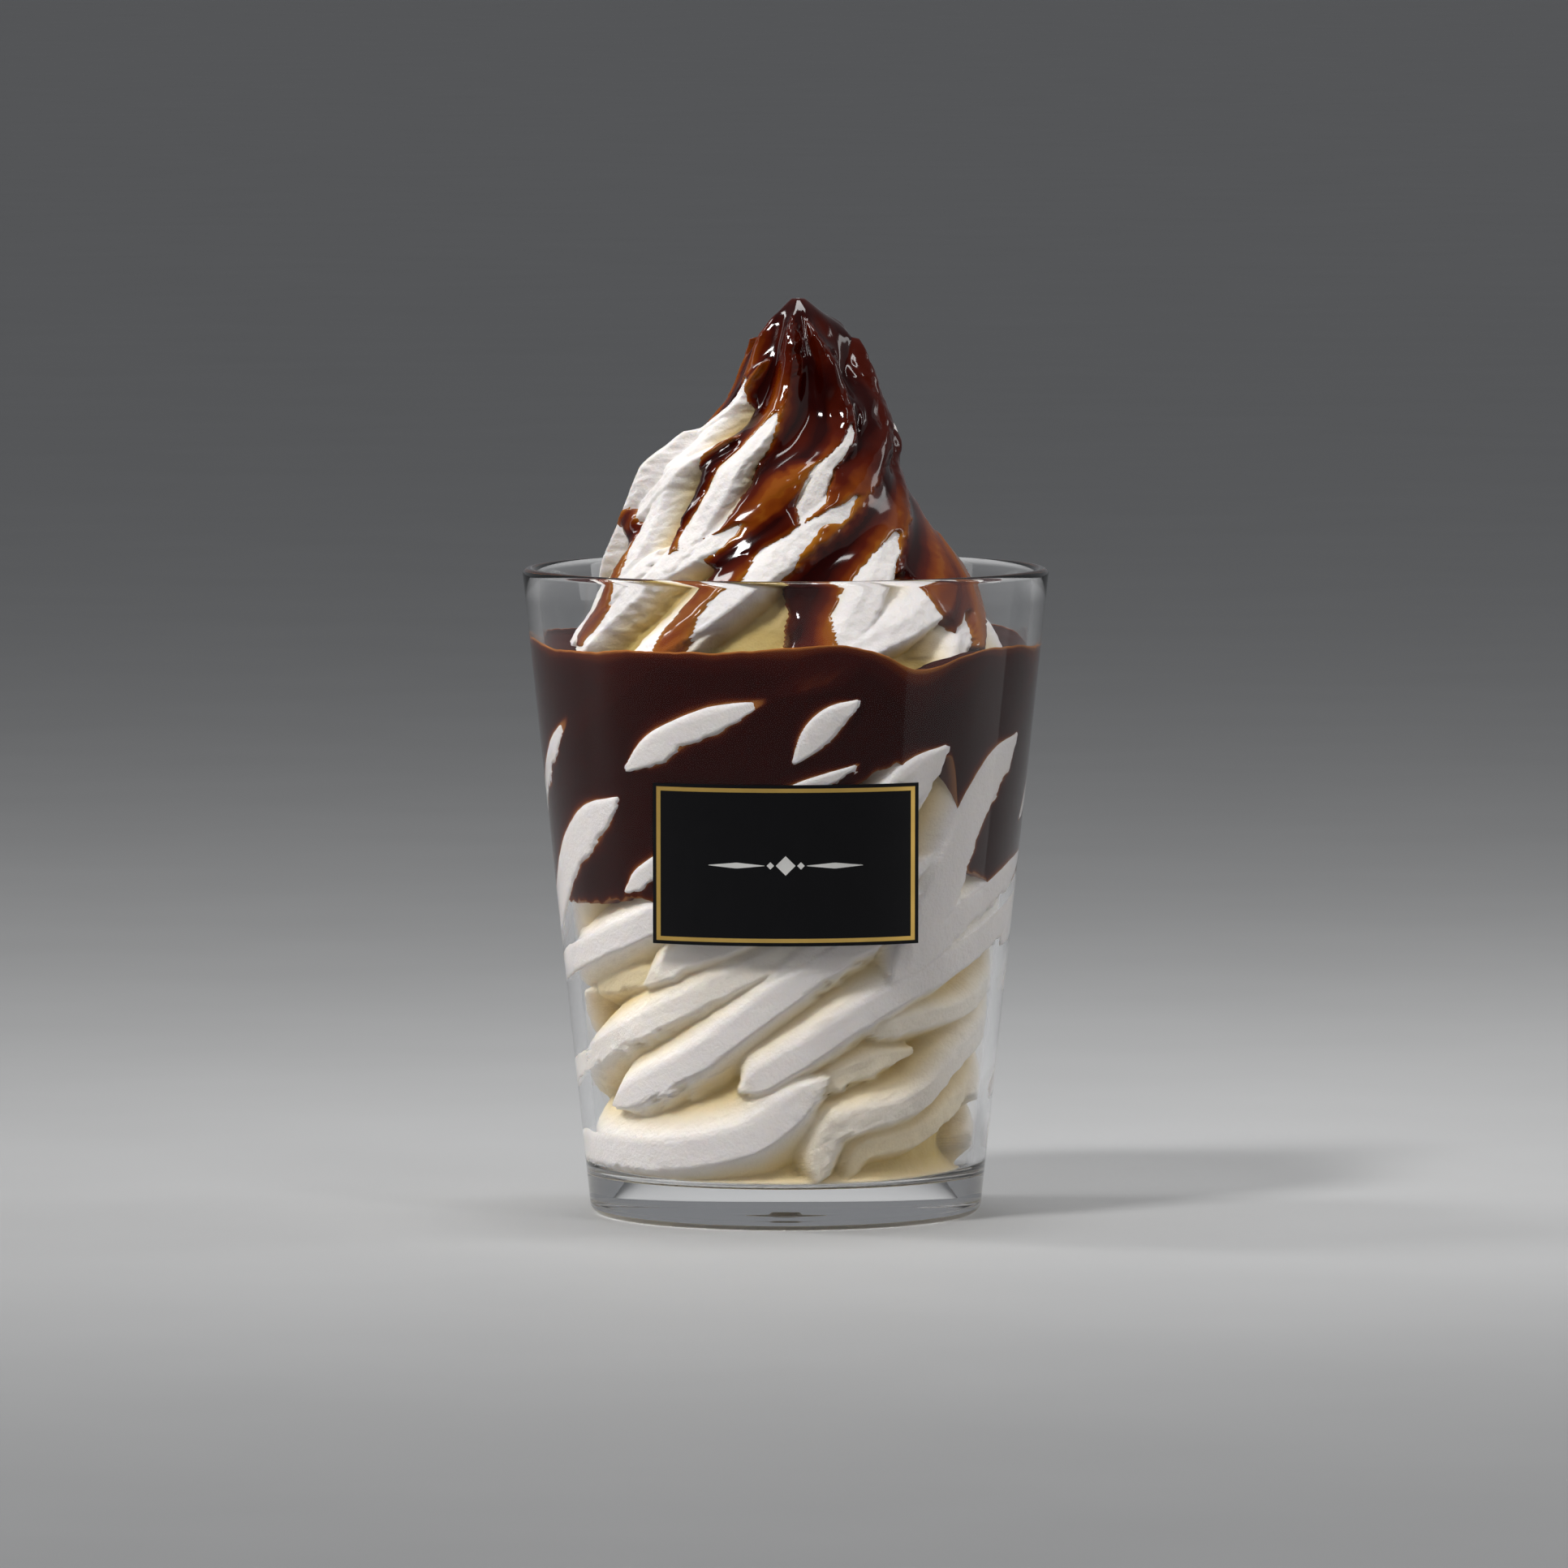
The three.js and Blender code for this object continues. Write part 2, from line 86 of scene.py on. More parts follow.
SETTLED = 5.0  # how much fuller the creases are at the floor, where the ice cream settles
SETTLED_FADE = 3.0
SEED = 7
SAUCE_TOP = 88.2
SAUCE_RIPPLE = 0.7
SAUCE_DIP = 3.0  # how far the sauce's top sinks on the right of the label
SAUCE_DIP_AT = 33.0
SAUCE_DIP_HALF = 11.0
SAUCE_REACH = 7.0  # from the wall into the creases
POOL_REACH = 12.0  # the same at the top
POUR_SKIN = 1.4  # poured over a ridge
POUR_FILL = 3.0  # more than that in a crease
SEAM = 83.6  # the ice cream's two meshes meet here, under the sauce
IN_WALL = 0.5  # how far a pressed ridge bulges into the wall at most, so no air shows
DETAIL = 1.0
print("rim radius", RIM_RADIUS, "peak at", PEAK_HEIGHT)

# %% [markdown]
# ## The swirl's rule
# A star nozzle lays down ridges. Each ridge is a way over the surface, given by where it
# starts, where it ends, how wide it is and how far it stands back from the wall. The
# radius of the ice cream at any place is that of the highest ridge there. A height field
# of this kind is easier to keep closed and clean than dozens of joined tubes, and the
# creases between ridges come out sharp by themselves.

# %% Outline, lean and twist of the swirl, and its ridges
OUTLINE = [[84, 35], [88, 33.2], [96, 29], [106, 22.9], [114, 19.4], [118, 17.2], [122, 14.4],
           [126, 12], [130, 10.5], [134, 9.2], [136, 7.3], [138, 4], [PEAK_HEIGHT, 0.4]]
LEAN = [[0, 0], [88, 0], [108, -1.2], [114, -1.2], [118, 1], [124, 3], [130, 3.2],
        [PEAK_HEIGHT, 1.9]]
TWIST = [[0, 0], [50, 165], [80, 235], [120, 305], [PEAK_HEIGHT, 325]]
# Ridges in the cup: half width, set back from the wall at the foot and at the top, then
# the angle and height of two to five places
CUP_RIDGES = [
    [3.8, 2.0, 1.4, 20, 7, 26, 12.2, 43, 13.5, 70, 19, 104, 24],
    [4.4, 0.6, 0.2, 10, 7, 14, 15.5, 42, 19.2, 58, 25.5, 100, 36],
    [3.8, 1.4, 1.0, 4, 18.5, 15, 23, 27, 25.5, 41, 27],
    [6.2, -0.3, -0.3, -104, 11, -52, 11, -15, 13.5, 11, 23],
    [5.0, -0.4, -0.3, -60, 18, -30, 25, 7, 39.4, 42, 52],
    [5.0, -0.2, -0.4, -13, 21.5, 4, 27, 28, 35, 100, 51],
    [3.6, 0.8, 0.4, 24, 30, 40, 31.5, 60, 33, 104, 43],
    [4.8, -0.3, 0.4, -104, 20, -72, 25, -36, 33, 12, 46],
    [3.8, 2.4, 2, -90, 34.5, -60, 37, -34, 39],
    [5.0, -0.3, -0.2, -104, 36, -66, 41.5, -40, 46.5, -16, 54],
    [4.4, 0.3, 0, -43, 37, -29, 41.5, -16, 44, 12, 53],
    [4.4, 0, -0.2, -8, 35.5, 5, 41.5, 14, 45, 42, 57],
    [5.2, -1.3, -1.1, -104, 41, -84, 48, -67, 57, -46, 65],
    [3.2, -0.6, -0.6, -46, 51, -34, 55.5, -10, 63, 18, 71],
    [3.6, -0.6, -0.4, -98, 60, -64, 77],
    [4.2, -1.2, -0.4, -42, 70, -26, 75.5, -5, 80.8],
    [3.6, -1.0, -1.1, 2, 71.5, 9, 76.5, 17, 80.5],
    [5.4, -1.4, -1.0, 4, 45, 20, 55, 30, 66, 42, 73],
    [5.4, -1.4, -1.0, 30, 38, 44, 50, 56, 65, 72, 74],
    [4.4, -0.8, -0.5, 30, 38, 53, 47, 92, 56],
    [4, 1.5, 1.5, 58, 70, 104, 90], [4, 1.8, 1.8, -70, 72, -20, 92],
    [4, 2, 2, -16, 78, 36, 95], [4, 2.2, 2.2, 26, 74, 76, 96],
]
# Ridges of the peak: the same three sizes, then the half width that the poured sauce
# leaves bare and the heights between which it does, then the places
PEAK_RIDGES = [
    [5.0, 0.3, 1.8, 6.0, 60, 128, -84, 84, -64, 104, -66, 114, -70, 124, -64, 139],
    [4.2, 0.8, 1.2, 3.6, 102.5, 123, -62, 92, -38, 103, -25, 113, -20, 122, -16, 139],
    [4.0, 1.6, 1.8, 2.1, 106.5, 121, -4, 97, 10, 107, 24, 114.5, 35, 121, 26, 129, 7, 138],
    [4.6, 0.6, 0.8, 3.0, 60, 110.5, -50, 83, -24, 93, 5, 103, 34, 110, 60, 117, 96, 134],
    [4.4, 0.6, 1.6, 3.0, 60, 106.5, -76, 84, -60, 93, -45, 99, -17, 106, 22, 116],
    [4.6, 0.8, 0.8, 3.4, 60, 105, 6, 83, 26, 95, 42, 102, 70, 110, 128, 130],
    [4.4, 0.6, 0.6, 3.2, 60, 94, -2, 82, 28, 90, 50, 94, 140, 120],
    [4.0, 0.6, 0.6, 4.0, 60, 100, -104, 80, -69, 93, -50, 102],
    [4.0, 1.2, 0.4, 3.0, 60, 93, 40, 80, 55, 88, 66, 94, 96, 106],
]
# Two lobes that stand out on the left and on the right, in the same form
LOBES = [
    [4.5, -0.5, -2.2, 5.0, 60, 130, -104, 96, -92, 107, -78, 119.5],
    [4.6, -0.2, -0.8, 0, 60, 60, 62, 88, 78, 97, 90, 104],
]
# Drips that run from the poured sauce over the ridges: half width, then the places
DRIPS = [
    [2.4, -34, 86, -30, 92, -24, 96.5, -15, 101], [3.6, 6, 85, 8, 92, 11, 98, 22, 103],
    [2.0, -72, 89, -66, 94, -68, 99, -84, 106], [4.5, 158, 86, 146, 104, 150, 112],
    [4.0, 196, 93, 200, 108], [4.5, 238, 86, 228, 100, 236, 110],
]
# The lower edge of the poured sauce: [angle, height]
POUR_EDGE = [[-180, 104], [-130, 98], [-96, 100], [-72, 110], [-50, 108], [-41, 100.5],
             [-34, 103], [-24, 98.5], [-12, 97], [-2, 98], [4, 90], [12, 86], [20, 90], [27, 97],
             [44, 99], [54, 90], [64, 86], [108, 86], [130, 95], [150, 101], [180, 104]]
# The lower edge of the sauce against the wall: [angle, height]
SAUCE_EDGE = [[-180, 52], [-140, 58], [-100, 49], [-34, 50], [2, 60], [30, 71], [44, 71],
              [52, 54], [80, 51], [120, 60], [150, 49], [180, 52]]


def smooth_through(pairs, x):
    """A smooth curve through [x, y] pairs that never overshoots them."""
    knots, values = np.array(pairs, float).T
    span = np.diff(knots)
    rise = np.diff(values) / span
    product = rise[:-1] * rise[1:]
    total = np.where(product > 0, rise[:-1] + rise[1:], 1)
    inner = np.where(product > 0, 2 * product / total, 0)
    slope = np.concatenate([rise[:1], inner, rise[-1:]])
    i = np.clip(np.searchsorted(knots, x, side="right") - 1, 0, len(span) - 1)
    t = np.clip((x - knots[i]) / span[i], 0, 1)
    return (values[i] * (1 + 2 * t) * (1 - t) ** 2 + slope[i] * span[i] * t * (1 - t) ** 2
            + values[i + 1] * t * t * (3 - 2 * t) + slope[i + 1] * span[i] * t * t * (t - 1))


def outer_radius(z):
    return BASE_RADIUS + (RIM_RADIUS - BASE_RADIUS) * z / CUP_HEIGHT


def inner_radius(z):
    return outer_radius(z) - WALL


def hollow_radius(z):
    """The inner radius, with the rounded corner at the floor."""
    up = np.clip(CORNER - np.maximum(0, z - FLOOR), 0, CORNER)
    return inner_radius(z) - CORNER + np.sqrt(CORNER ** 2 - up ** 2)


def crest_radius(z):
    free = smooth_through(OUTLINE, np.maximum(z, SHOULDER_BOTTOM))
    free = free + SHOULDER_SLOPE * np.maximum(0, SHOULDER_TOP - z)
    return np.minimum(inner_radius(z), free)


print("crest radius at the sauce's top:", round(float(crest_radius(SAUCE_TOP)), 1), "mm")

# %% [markdown]
# ## Distances to a ridge
# For every point of the surface we need the nearest point of each ridge. The surface is
# unrolled, so a turn of one degree is worth more millimetres where the swirl is wide.
# Numpy measures all points at once, and each ridge only looks at the rows near it.

# %% Ways over the surface and distances to them
WAY_STEPS = 14
REACH = 14.0  # mm past its ends that a way still matters


def smooth_way(places):
    """A smooth way through two or more places, given as angle, height, angle, height..."""
    pairs = np.reshape(places, (-1, 2))
    share = np.linspace(0, len(pairs) - 1, WAY_STEPS + 1)
    count = range(len(pairs))
    return np.stack([smooth_through(list(zip(count, column)), share) for column in pairs.T], 1)


def slant_factor(z):
    slope = crest_radius(z + 0.5) - crest_radius(z - 0.5)
    return np.sqrt(1 + slope * slope)


def way_length(way):
    """The length of a way over the surface, in mm."""
    turn, rise = np.diff(way, axis=0).T
    middle = (way[:-1, 1] + way[1:, 1]) / 2
    return np.hypot(np.radians(turn) * crest_radius(middle), rise * slant_factor(middle)).sum()


def nearest_on_way(way, angle, z):
    """Distance in mm, side (1 above, -1 below, between past an end) and the share of the way."""
    per_degree = np.radians(np.maximum(crest_radius(z), 1.5))
    slant = slant_factor(z)
    distance = np.full(angle.shape, 1e9)
    side = np.ones(angle.shape)
    along = np.zeros(angle.shape)
    for i, ((a0, z0), (a1, z1)) in enumerate(zip(way[:-1], way[1:])):
        middle = np.array((z0 + z1) / 2)
        turn = (angle - a0 + 180) % 360 - 180
        px, py = turn * per_degree, (z - z0) * slant
        bx = (a1 - a0) * float(np.radians(max(crest_radius(middle), 2)))
        by = (z1 - z0) * float(slant_factor(middle))
        t = np.clip((px * bx + py * by) / (bx * bx + by * by + 1e-9), 0, 1)
        ex, ey = px - t * bx, py - t * by
        here = np.hypot(ex, ey)
        nearer = here < distance
        distance = np.where(nearer, here, distance)
        across = (bx * ey - by * ex) / (math.hypot(bx, by) * here + 1e-9)
        side = np.where(nearer, across, side)
        along = np.where(nearer, (i + t) / WAY_STEPS, along)
    return distance, side, along


def rows_near(way, z):
    """The rows of a grid that lie near a way; z is the same along a row."""
    low, high = way[:, 1].min() - REACH, way[:, 1].max() + REACH
    return (z[:, 0] > low) & (z[:, 0] < high)


# %% [markdown]
# ## Ridges on the near and the far side
# The near side's ridges are given one by one. The far side repeats them half a turn on, with
# small seeded changes, so that the swirl looks piped from any side and the result is the
# same each run.

# %% All ridges
def seeded_random(seed):
    state = seed
    while True:
        state = (state * 1664525 + 1013904223) % 2 ** 32
        yield state / 2 ** 32


def make_ridges():
    random = seeded_random(SEED)
    near = [(smooth_way(row[3:]), *row[:3], 0, 0, 0) for row in CUP_RIDGES]
    near += [(smooth_way(row[6:]), *row[:6]) for row in PEAK_RIDGES]
    far = []
    for way, half_width, *rest in near:
        turned = 180 + 8 * (next(random) - 0.5)
        raised = 3 * (next(random) - 0.5)
        widened = 1 + 0.12 * (next(random) - 0.5)
        fade = np.clip((132 - way[:, 1]) / 20, 0, 1)
        far.append((way + np.stack([np.full(len(way), turned), raised * fade], 1),
                    half_width * widened, *rest))
    lobes = [(smooth_way(row[6:]), *row[:6]) for row in LOBES]
    return near + far + lobes


ridges = make_ridges()
print(len(ridges), "ridges")


def ridge_radius(ridge, angle, z, fray):
    """A ridge is flat on top, gentle above and, past a crisp lip, steep below."""
    way, half_width, foot_back, top_back = ridge[:4]
    distance, side, along = nearest_on_way(way, angle, z)
    crest = crest_radius(z)
    size = np.clip(crest / RIDGE_FULL_FROM, 0.3, 1)
    taper = min(0.45, RIDGE_TAPER / way_length(way))
    to_end = np.clip(np.minimum(along, 1 - along) / taper, 0, 1)
    widening = (1 - RIDGE_END_WIDTH) * to_end * (2 - to_end)
    width = half_width * size * (RIDGE_END_WIDTH + widening)
    above = np.maximum(0, distance / width - RIDGE_FLAT_ABOVE)
    below = np.maximum(0, (distance + fray) / width - RIDGE_FLAT_BELOW)
    up = 0.5 + 0.5 * side
    fall = up * 0.75 * above ** 1.5 + (1 - up) * (1.1 * below + 0.3 * below ** 2)
    back = foot_back + (top_back - foot_back) * along
    end_drop = RIDGE_END_DROP * (1 - to_end) ** 2
    return crest - back - RIDGE_DEPTH * size * np.minimum(fall, 4) - end_drop


def swirl_radius(angle, z, fray):
    crest = crest_radius(z)
    settled = SETTLED * np.exp(-(z - FLOOR) / SETTLED_FADE)
    radius = crest - np.minimum(CORE_DEPTH, crest / 2) + settled
    for ridge in ridges:
        rows = rows_near(ridge[0], z)
        if rows.any():
            here = ridge_radius(ridge, angle[rows], z[rows], fray[rows])
            radius[rows] = np.maximum(radius[rows], here)
    return radius


# %% [markdown]
# ## Roughness you can touch
# Soft serve isn't smooth: ice crystals tear its crests into small crags. A fractal noise,
# sampled at each point of the surface, moves the ridge's edge to and fro and the surface
# in and out. It is real relief in the mesh, so it also shows on the outline.

# %% Noise over a grid
def grid_points(angle, z, radius):
    a = np.radians(angle)
    middle = smooth_through(LEAN, z)
    return np.stack([middle + radius * np.sin(a), -radius * np.cos(a), z], -1)


def crag(points, size, octaves=3):
    """Fractal noise of about -1 to 1 at points in mm, with features of the given size."""
    flat = points.reshape(-1, 3) / size
    values = [noise.fractal(Vector(p), 0.9, 2.1, octaves) for p in flat]
    return np.array(values).reshape(points.shape[:-1])


def swirl_grid(low, high, columns, rows):
    """Angles and heights of a grid whose columns turn with the ridges."""
    z = np.repeat(np.linspace(low, high, rows)[:, None], columns, 1)
    angle = 360 * np.arange(columns) / columns + smooth_through(TWIST, z)
    return angle, z


# %% [markdown]
# ## From a grid of radii to a closed mesh
# Every food piece here is a grid bent round the cup's axis. One function makes the faces,
# another closes the ends, and named values are stored on the points, such as how deep a
# crease is, for the materials to read.

# %% Mesh makers
def mesh_piece(name, points_mm, faces, values):
    mesh = bpy.data.meshes.new(name)
    mesh.from_pydata((points_mm * MM).tolist(), [], faces)
    mesh.validate()
    for label, numbers in values.items():
        attribute = mesh.attributes.new(label, "FLOAT", "POINT")
        attribute.data.foreach_set("value", np.asarray(numbers, np.float32).ravel())
    mesh.polygons.foreach_set("use_smooth", [True] * len(mesh.polygons))
    piece = bpy.data.objects.new(name, mesh)
    bpy.context.collection.objects.link(piece)
    return piece


def ring_faces(rows, columns, closed_rows=False):
    """Quads of a grid of rows that run round the cup."""
    row = np.arange(rows if closed_rows else rows - 1)[:, None]
    column = np.arange(columns)[None, :]
    after, beside = (row + 1) % rows, (column + 1) % columns
    quads = np.stack([row * columns + column, row * columns + beside,
                      after * columns + beside, after * columns + column], -1)
    return quads.reshape(-1, 4)


def capped_piece(name, grid, values):
    """A closed piece from a grid of points: its first and last rows end in a middle point."""
    rows, columns = grid.shape[:2]
    ends = np.stack([grid[0].mean(0), grid[-1].mean(0)])
    points = np.concatenate([grid.reshape(-1, 3), ends])
    faces = ring_faces(rows, columns).tolist()
    first, last = rows * columns, rows * columns + 1
    top = (rows - 1) * columns
    for i in range(columns):
        beside = (i + 1) % columns
        faces.append((first, beside, i))
        faces.append((last, top + i, top + beside))
    padded = {k: np.concatenate([v.ravel(), [v[0].mean(), v[-1].mean()]]) for k, v in values.items()}
    return mesh_piece(name, points, faces, padded)


# %% [markdown]
# ## The ice cream
# The lower mesh fills the cup and presses on its wall. Where a ridge presses, it reaches
# just into the clear plastic, because two surfaces that only touch would show air between
# them. The upper mesh is the free peak. Both are one height field, cut in two where the
# sauce hides the join, so that each stays light enough.

# %% Lower and upper ice cream
def soft_serve(low, high, columns, rows):
    angle, z = swirl_grid(low, high, int(columns * DETAIL), int(rows * DETAIL))
    rough = grid_points(angle, z, crest_radius(z))
    torn = np.clip(0.4 + 0.8 * crag(rough + 60, 16, 2), 0, 1)
    fray = torn * (0.9 * crag(rough, 2.4) + 0.6 * crag(rough + 40, 0.9, 2))
    crest = crest_radius(z)
    radius = swirl_radius(angle, z, fray)
    # The depth sets the vanilla's colour: painted shade in the creases, along with a creamier tone
    # there. The offset by height lets it start sooner low in the cup, so the lower swirl comes out
    # darker.
    start = np.interp(z, [40, 62, 86, 92], [-0.3, 0.3, 0.4, 1.6])
    depth = np.clip((crest - radius - start) / 6, 0, 1)
    free = np.clip((crest - radius) / 0.6, 0, 1)
    grain = 0.16 * crag(rough + 90, 1.3) + 0.35 * crag(rough, 7, 2)
    radius = radius + grain * (0.3 + 0.7 * free) * np.clip(radius / 8, 0, 1)
    wall = np.where(z < CUP_HEIGHT, hollow_radius(z), 1e3)
    beyond = np.maximum(0, radius - wall)
    radius = np.minimum(radius, wall) + IN_WALL * np.tanh(beyond / IN_WALL)
    return angle, z, np.maximum(radius, 0.25), {"depth": depth}


angle, z, radius, looks = soft_serve(FLOOR - 0.05, SEAM, 512, 188)
body_field = (angle, z, radius)
ice_body = capped_piece("soft_serve_in_cup", grid_points(angle, z, radius), looks)
angle, z, radius, looks = soft_serve(SEAM - 0.4, PEAK_HEIGHT - 0.2, 420, 212)
peak_field = (angle, z, radius)
ice_peak = capped_piece("soft_serve_peak", grid_points(angle, z, radius), looks)
print("ice cream faces:", len(ice_body.data.polygons), "and", len(ice_peak.data.polygons))

# %% [markdown]
# ## The sauce poured over the peak
# Syrup lies thicker in the creases than on the ridges and stops in a round edge. Its
# thickness is a rule too: a thin skin near each way that it ran, more of it where the
# surface is deep. Where there is none the shell sinks into the ice cream, and cells that
# are sunk all round are left out, so the shell ends in its own clean rim.

# %% Poured sauce
def pour_cover(angle, z, wander):
    """How far inside the poured sauce a place is, in mm; less than nothing outside it."""
    around = (angle + 180) % 360 - 180
    inside = 0.6 * (z - smooth_through(POUR_EDGE, around))
    for way, _, _, _, bare, low, high in ridges:
        rows = rows_near(way, z)
        if bare and rows.any():
            distance, _, _ = nearest_on_way(way, angle[rows], z[rows])
            fading = np.clip((high - z[rows]) / 8, 0, 1) ** 0.8 * np.clip((z[rows] - low) / 3, 0, 1)
            inside[rows] = np.minimum(inside[rows], distance - bare * fading + (fading == 0) * 9)
    for row in DRIPS:
        way = smooth_way(row[1:])
        rows = rows_near(way, z)
        distance, _, along = nearest_on_way(way, angle[rows], z[rows])
        inside[rows] = np.maximum(inside[rows], row[0] * (1 + 0.15 * np.sin(9 * along)) - distance)
    return inside + wander


def sample_field(field, angle, z):
    """The radius at any place, read off a grid of the ice cream."""
    _, grid_z, grid_radius = field
    rows, columns = grid_radius.shape
    v = np.clip((z - grid_z[0, 0]) / (grid_z[-1, 0] - grid_z[0, 0]), 0, 1) * (rows - 1)
    u = ((angle - smooth_through(TWIST, z)) % 360) / 360 * columns
    r0, c0 = np.minimum(v.astype(int), rows - 2), u.astype(int) % columns
    fv, fu = v - r0, u - np.floor(u)
    c1 = (c0 + 1) % columns
    low = grid_radius[r0, c0] * (1 - fu) + grid_radius[r0, c1] * fu
    high = grid_radius[r0 + 1, c0] * (1 - fu) + grid_radius[r0 + 1, c1] * fu
    return low * (1 - fv) + high * fv


def blurred(grid, across, along):
    """A grid averaged over neighbours; its columns run round, and its rows end."""
    for axis, reach in ((1, across), (0, along)):
        offsets = np.arange(-2 * reach, 2 * reach + 1)
        weights = np.exp(-0.5 * (offsets / reach) ** 2)
        padding = [(0, 0), (0, 0)]
        padding[axis] = (2 * reach, 2 * reach)
        wide = np.pad(grid, padding, mode="wrap" if axis else "edge")
        size = grid.shape[axis]
        grid = sum(w * wide.take(range(i, i + size), axis) for i, w in enumerate(weights))
        grid = grid / weights.sum()
    return grid


def poured_sauce(columns=360, rows=184):
    columns, rows = int(columns * DETAIL), int(rows * DETAIL)
    angle, z = swirl_grid(peak_field[1][0, 0], peak_field[1][-1, 0], columns, rows)
    swirl = sample_field(peak_field, angle, z)
    points = grid_points(angle, z, swirl)
    wander = 0.45 * crag(points, 5, 2) + 0.2 * crag(points + 20, 1.2, 2)
    wide, narrow = max(2, int(9 * DETAIL)), max(1, int(4 * DETAIL))
    level = blurred(swirl, wide, wide)
    inside = pour_cover(angle, z, wander)
    edge = np.clip(inside / 2, 0, 1)
    round_edge = np.sqrt(1 - (1 - edge) ** 2)
    filled = np.clip(np.maximum(0.5, level + 0.6 * POUR_SKIN - swirl), 0, POUR_SKIN + POUR_FILL)
    surface = blurred(swirl + filled, narrow, narrow)
    # The right flank and the tip get lumps, and the same share paints them darker as shade.
    lumps_and_painted_shade = np.clip((z - 118) / 10 + 1.3 * np.sin(np.radians(angle - 10)), 0, 1)
    lumps = 2.2 * lumps_and_painted_shade * crag(points + 10, 7, 1)
    near_tip = np.clip((PEAK_HEIGHT + 1 - z) / 5, 0, 1)
    thickness = round_edge * near_tip * np.maximum(surface - swirl + lumps, 0.35)
    # The last value adds painted shade on the right flank and tip to the thickness.
    return angle, z, swirl, inside, thickness, thickness + 1.3 * lumps_and_painted_shade


angle, z, swirl, inside, thickness, thickness_and_painted_shade = poured_sauce()
top_face = np.where(inside > 0, swirl + np.maximum(thickness, 0.05), swirl - 0.35)
under_face = swirl - 0.9 * np.clip(swirl / 4, 0, 1)
print("poured sauce is", thickness.max().round(2), "mm thick at most")


def shell_piece(name, over, under, keep, values):
    """A closed shell between two grids of points, over the cells that are kept."""
    rows, columns = over.shape[:2]
    quads = ring_faces(rows, columns)
    cells = np.argwhere(keep.reshape(-1)).ravel()
    count = rows * columns
    faces = [quads[c].tolist() for c in cells]
    faces += [(quads[c][::-1] + count).tolist() for c in cells]
    edges = {}
    for c in cells:
        q = quads[c]
        for a, b in zip(q, np.roll(q, -1)):
            edges[(int(a), int(b))] = True
    for a, b in edges:
        if (b, a) not in edges:
            faces.append((b, a, a + count, b + count))
    points = np.concatenate([over.reshape(-1, 3), under.reshape(-1, 3)])
    used = np.zeros(len(points), bool)
    for face in faces:
        used[list(face)] = True
    renumber = np.cumsum(used) - 1
    faces = [[int(renumber[v]) for v in face] for face in faces]
    doubled = {k: np.concatenate([v.ravel(), v.ravel()])[used] for k, v in values.items()}
    return mesh_piece(name, points[used], faces, doubled)


def cells_touching(mask):
    """Cells of a ring grid with a corner in the mask, and no two that share only a corner."""
    cells = mask[:-1] | mask[1:] | np.roll(mask, -1, 1)[:-1] | np.roll(mask, -1, 1)[1:]
    while True:
        left, right = cells, np.roll(cells, -1, 1)
        rising = left[:-1] & right[1:] & ~left[1:] & ~right[:-1]
        falling = left[1:] & right[:-1] & ~left[:-1] & ~right[1:]
        lonely = rising | falling
        if not lonely.any():
            return cells
        for above in (slice(None, -1), slice(1, None)):
            for beside in (0, 1):
                cells[above] |= np.roll(lonely, beside, 1)


# The poured sauce's thickness value also carries the painted shade of its right flank and tip.
poured = shell_piece(
    "poured_sauce", grid_points(angle, z, top_face), grid_points(angle, z, under_face),
    cells_touching(inside > 0), {"thickness": np.clip(thickness_and_painted_shade, 0, 5)})
print("poured sauce faces:", len(poured.data.polygons))

# %% [markdown]
# ## The sauce against the wall
# Between the ridges and the wall the sauce fills every gap, so from outside it is a dark
# band with pale windows where ridges press through. The band's outer face also reaches
# into the wall, but a little less than the ice cream does, so each pressed ridge breaks
# through it with its own torn outline.

# %% Wall sauce
def sauce_top(angle):
    a = np.radians(angle)
    dip = SAUCE_DIP * np.exp(-((angle - SAUCE_DIP_AT) / SAUCE_DIP_HALF) ** 2)
    return SAUCE_TOP + SAUCE_RIPPLE * (np.sin(3 * a + 1) + 0.5 * np.sin(7 * a)) - dip


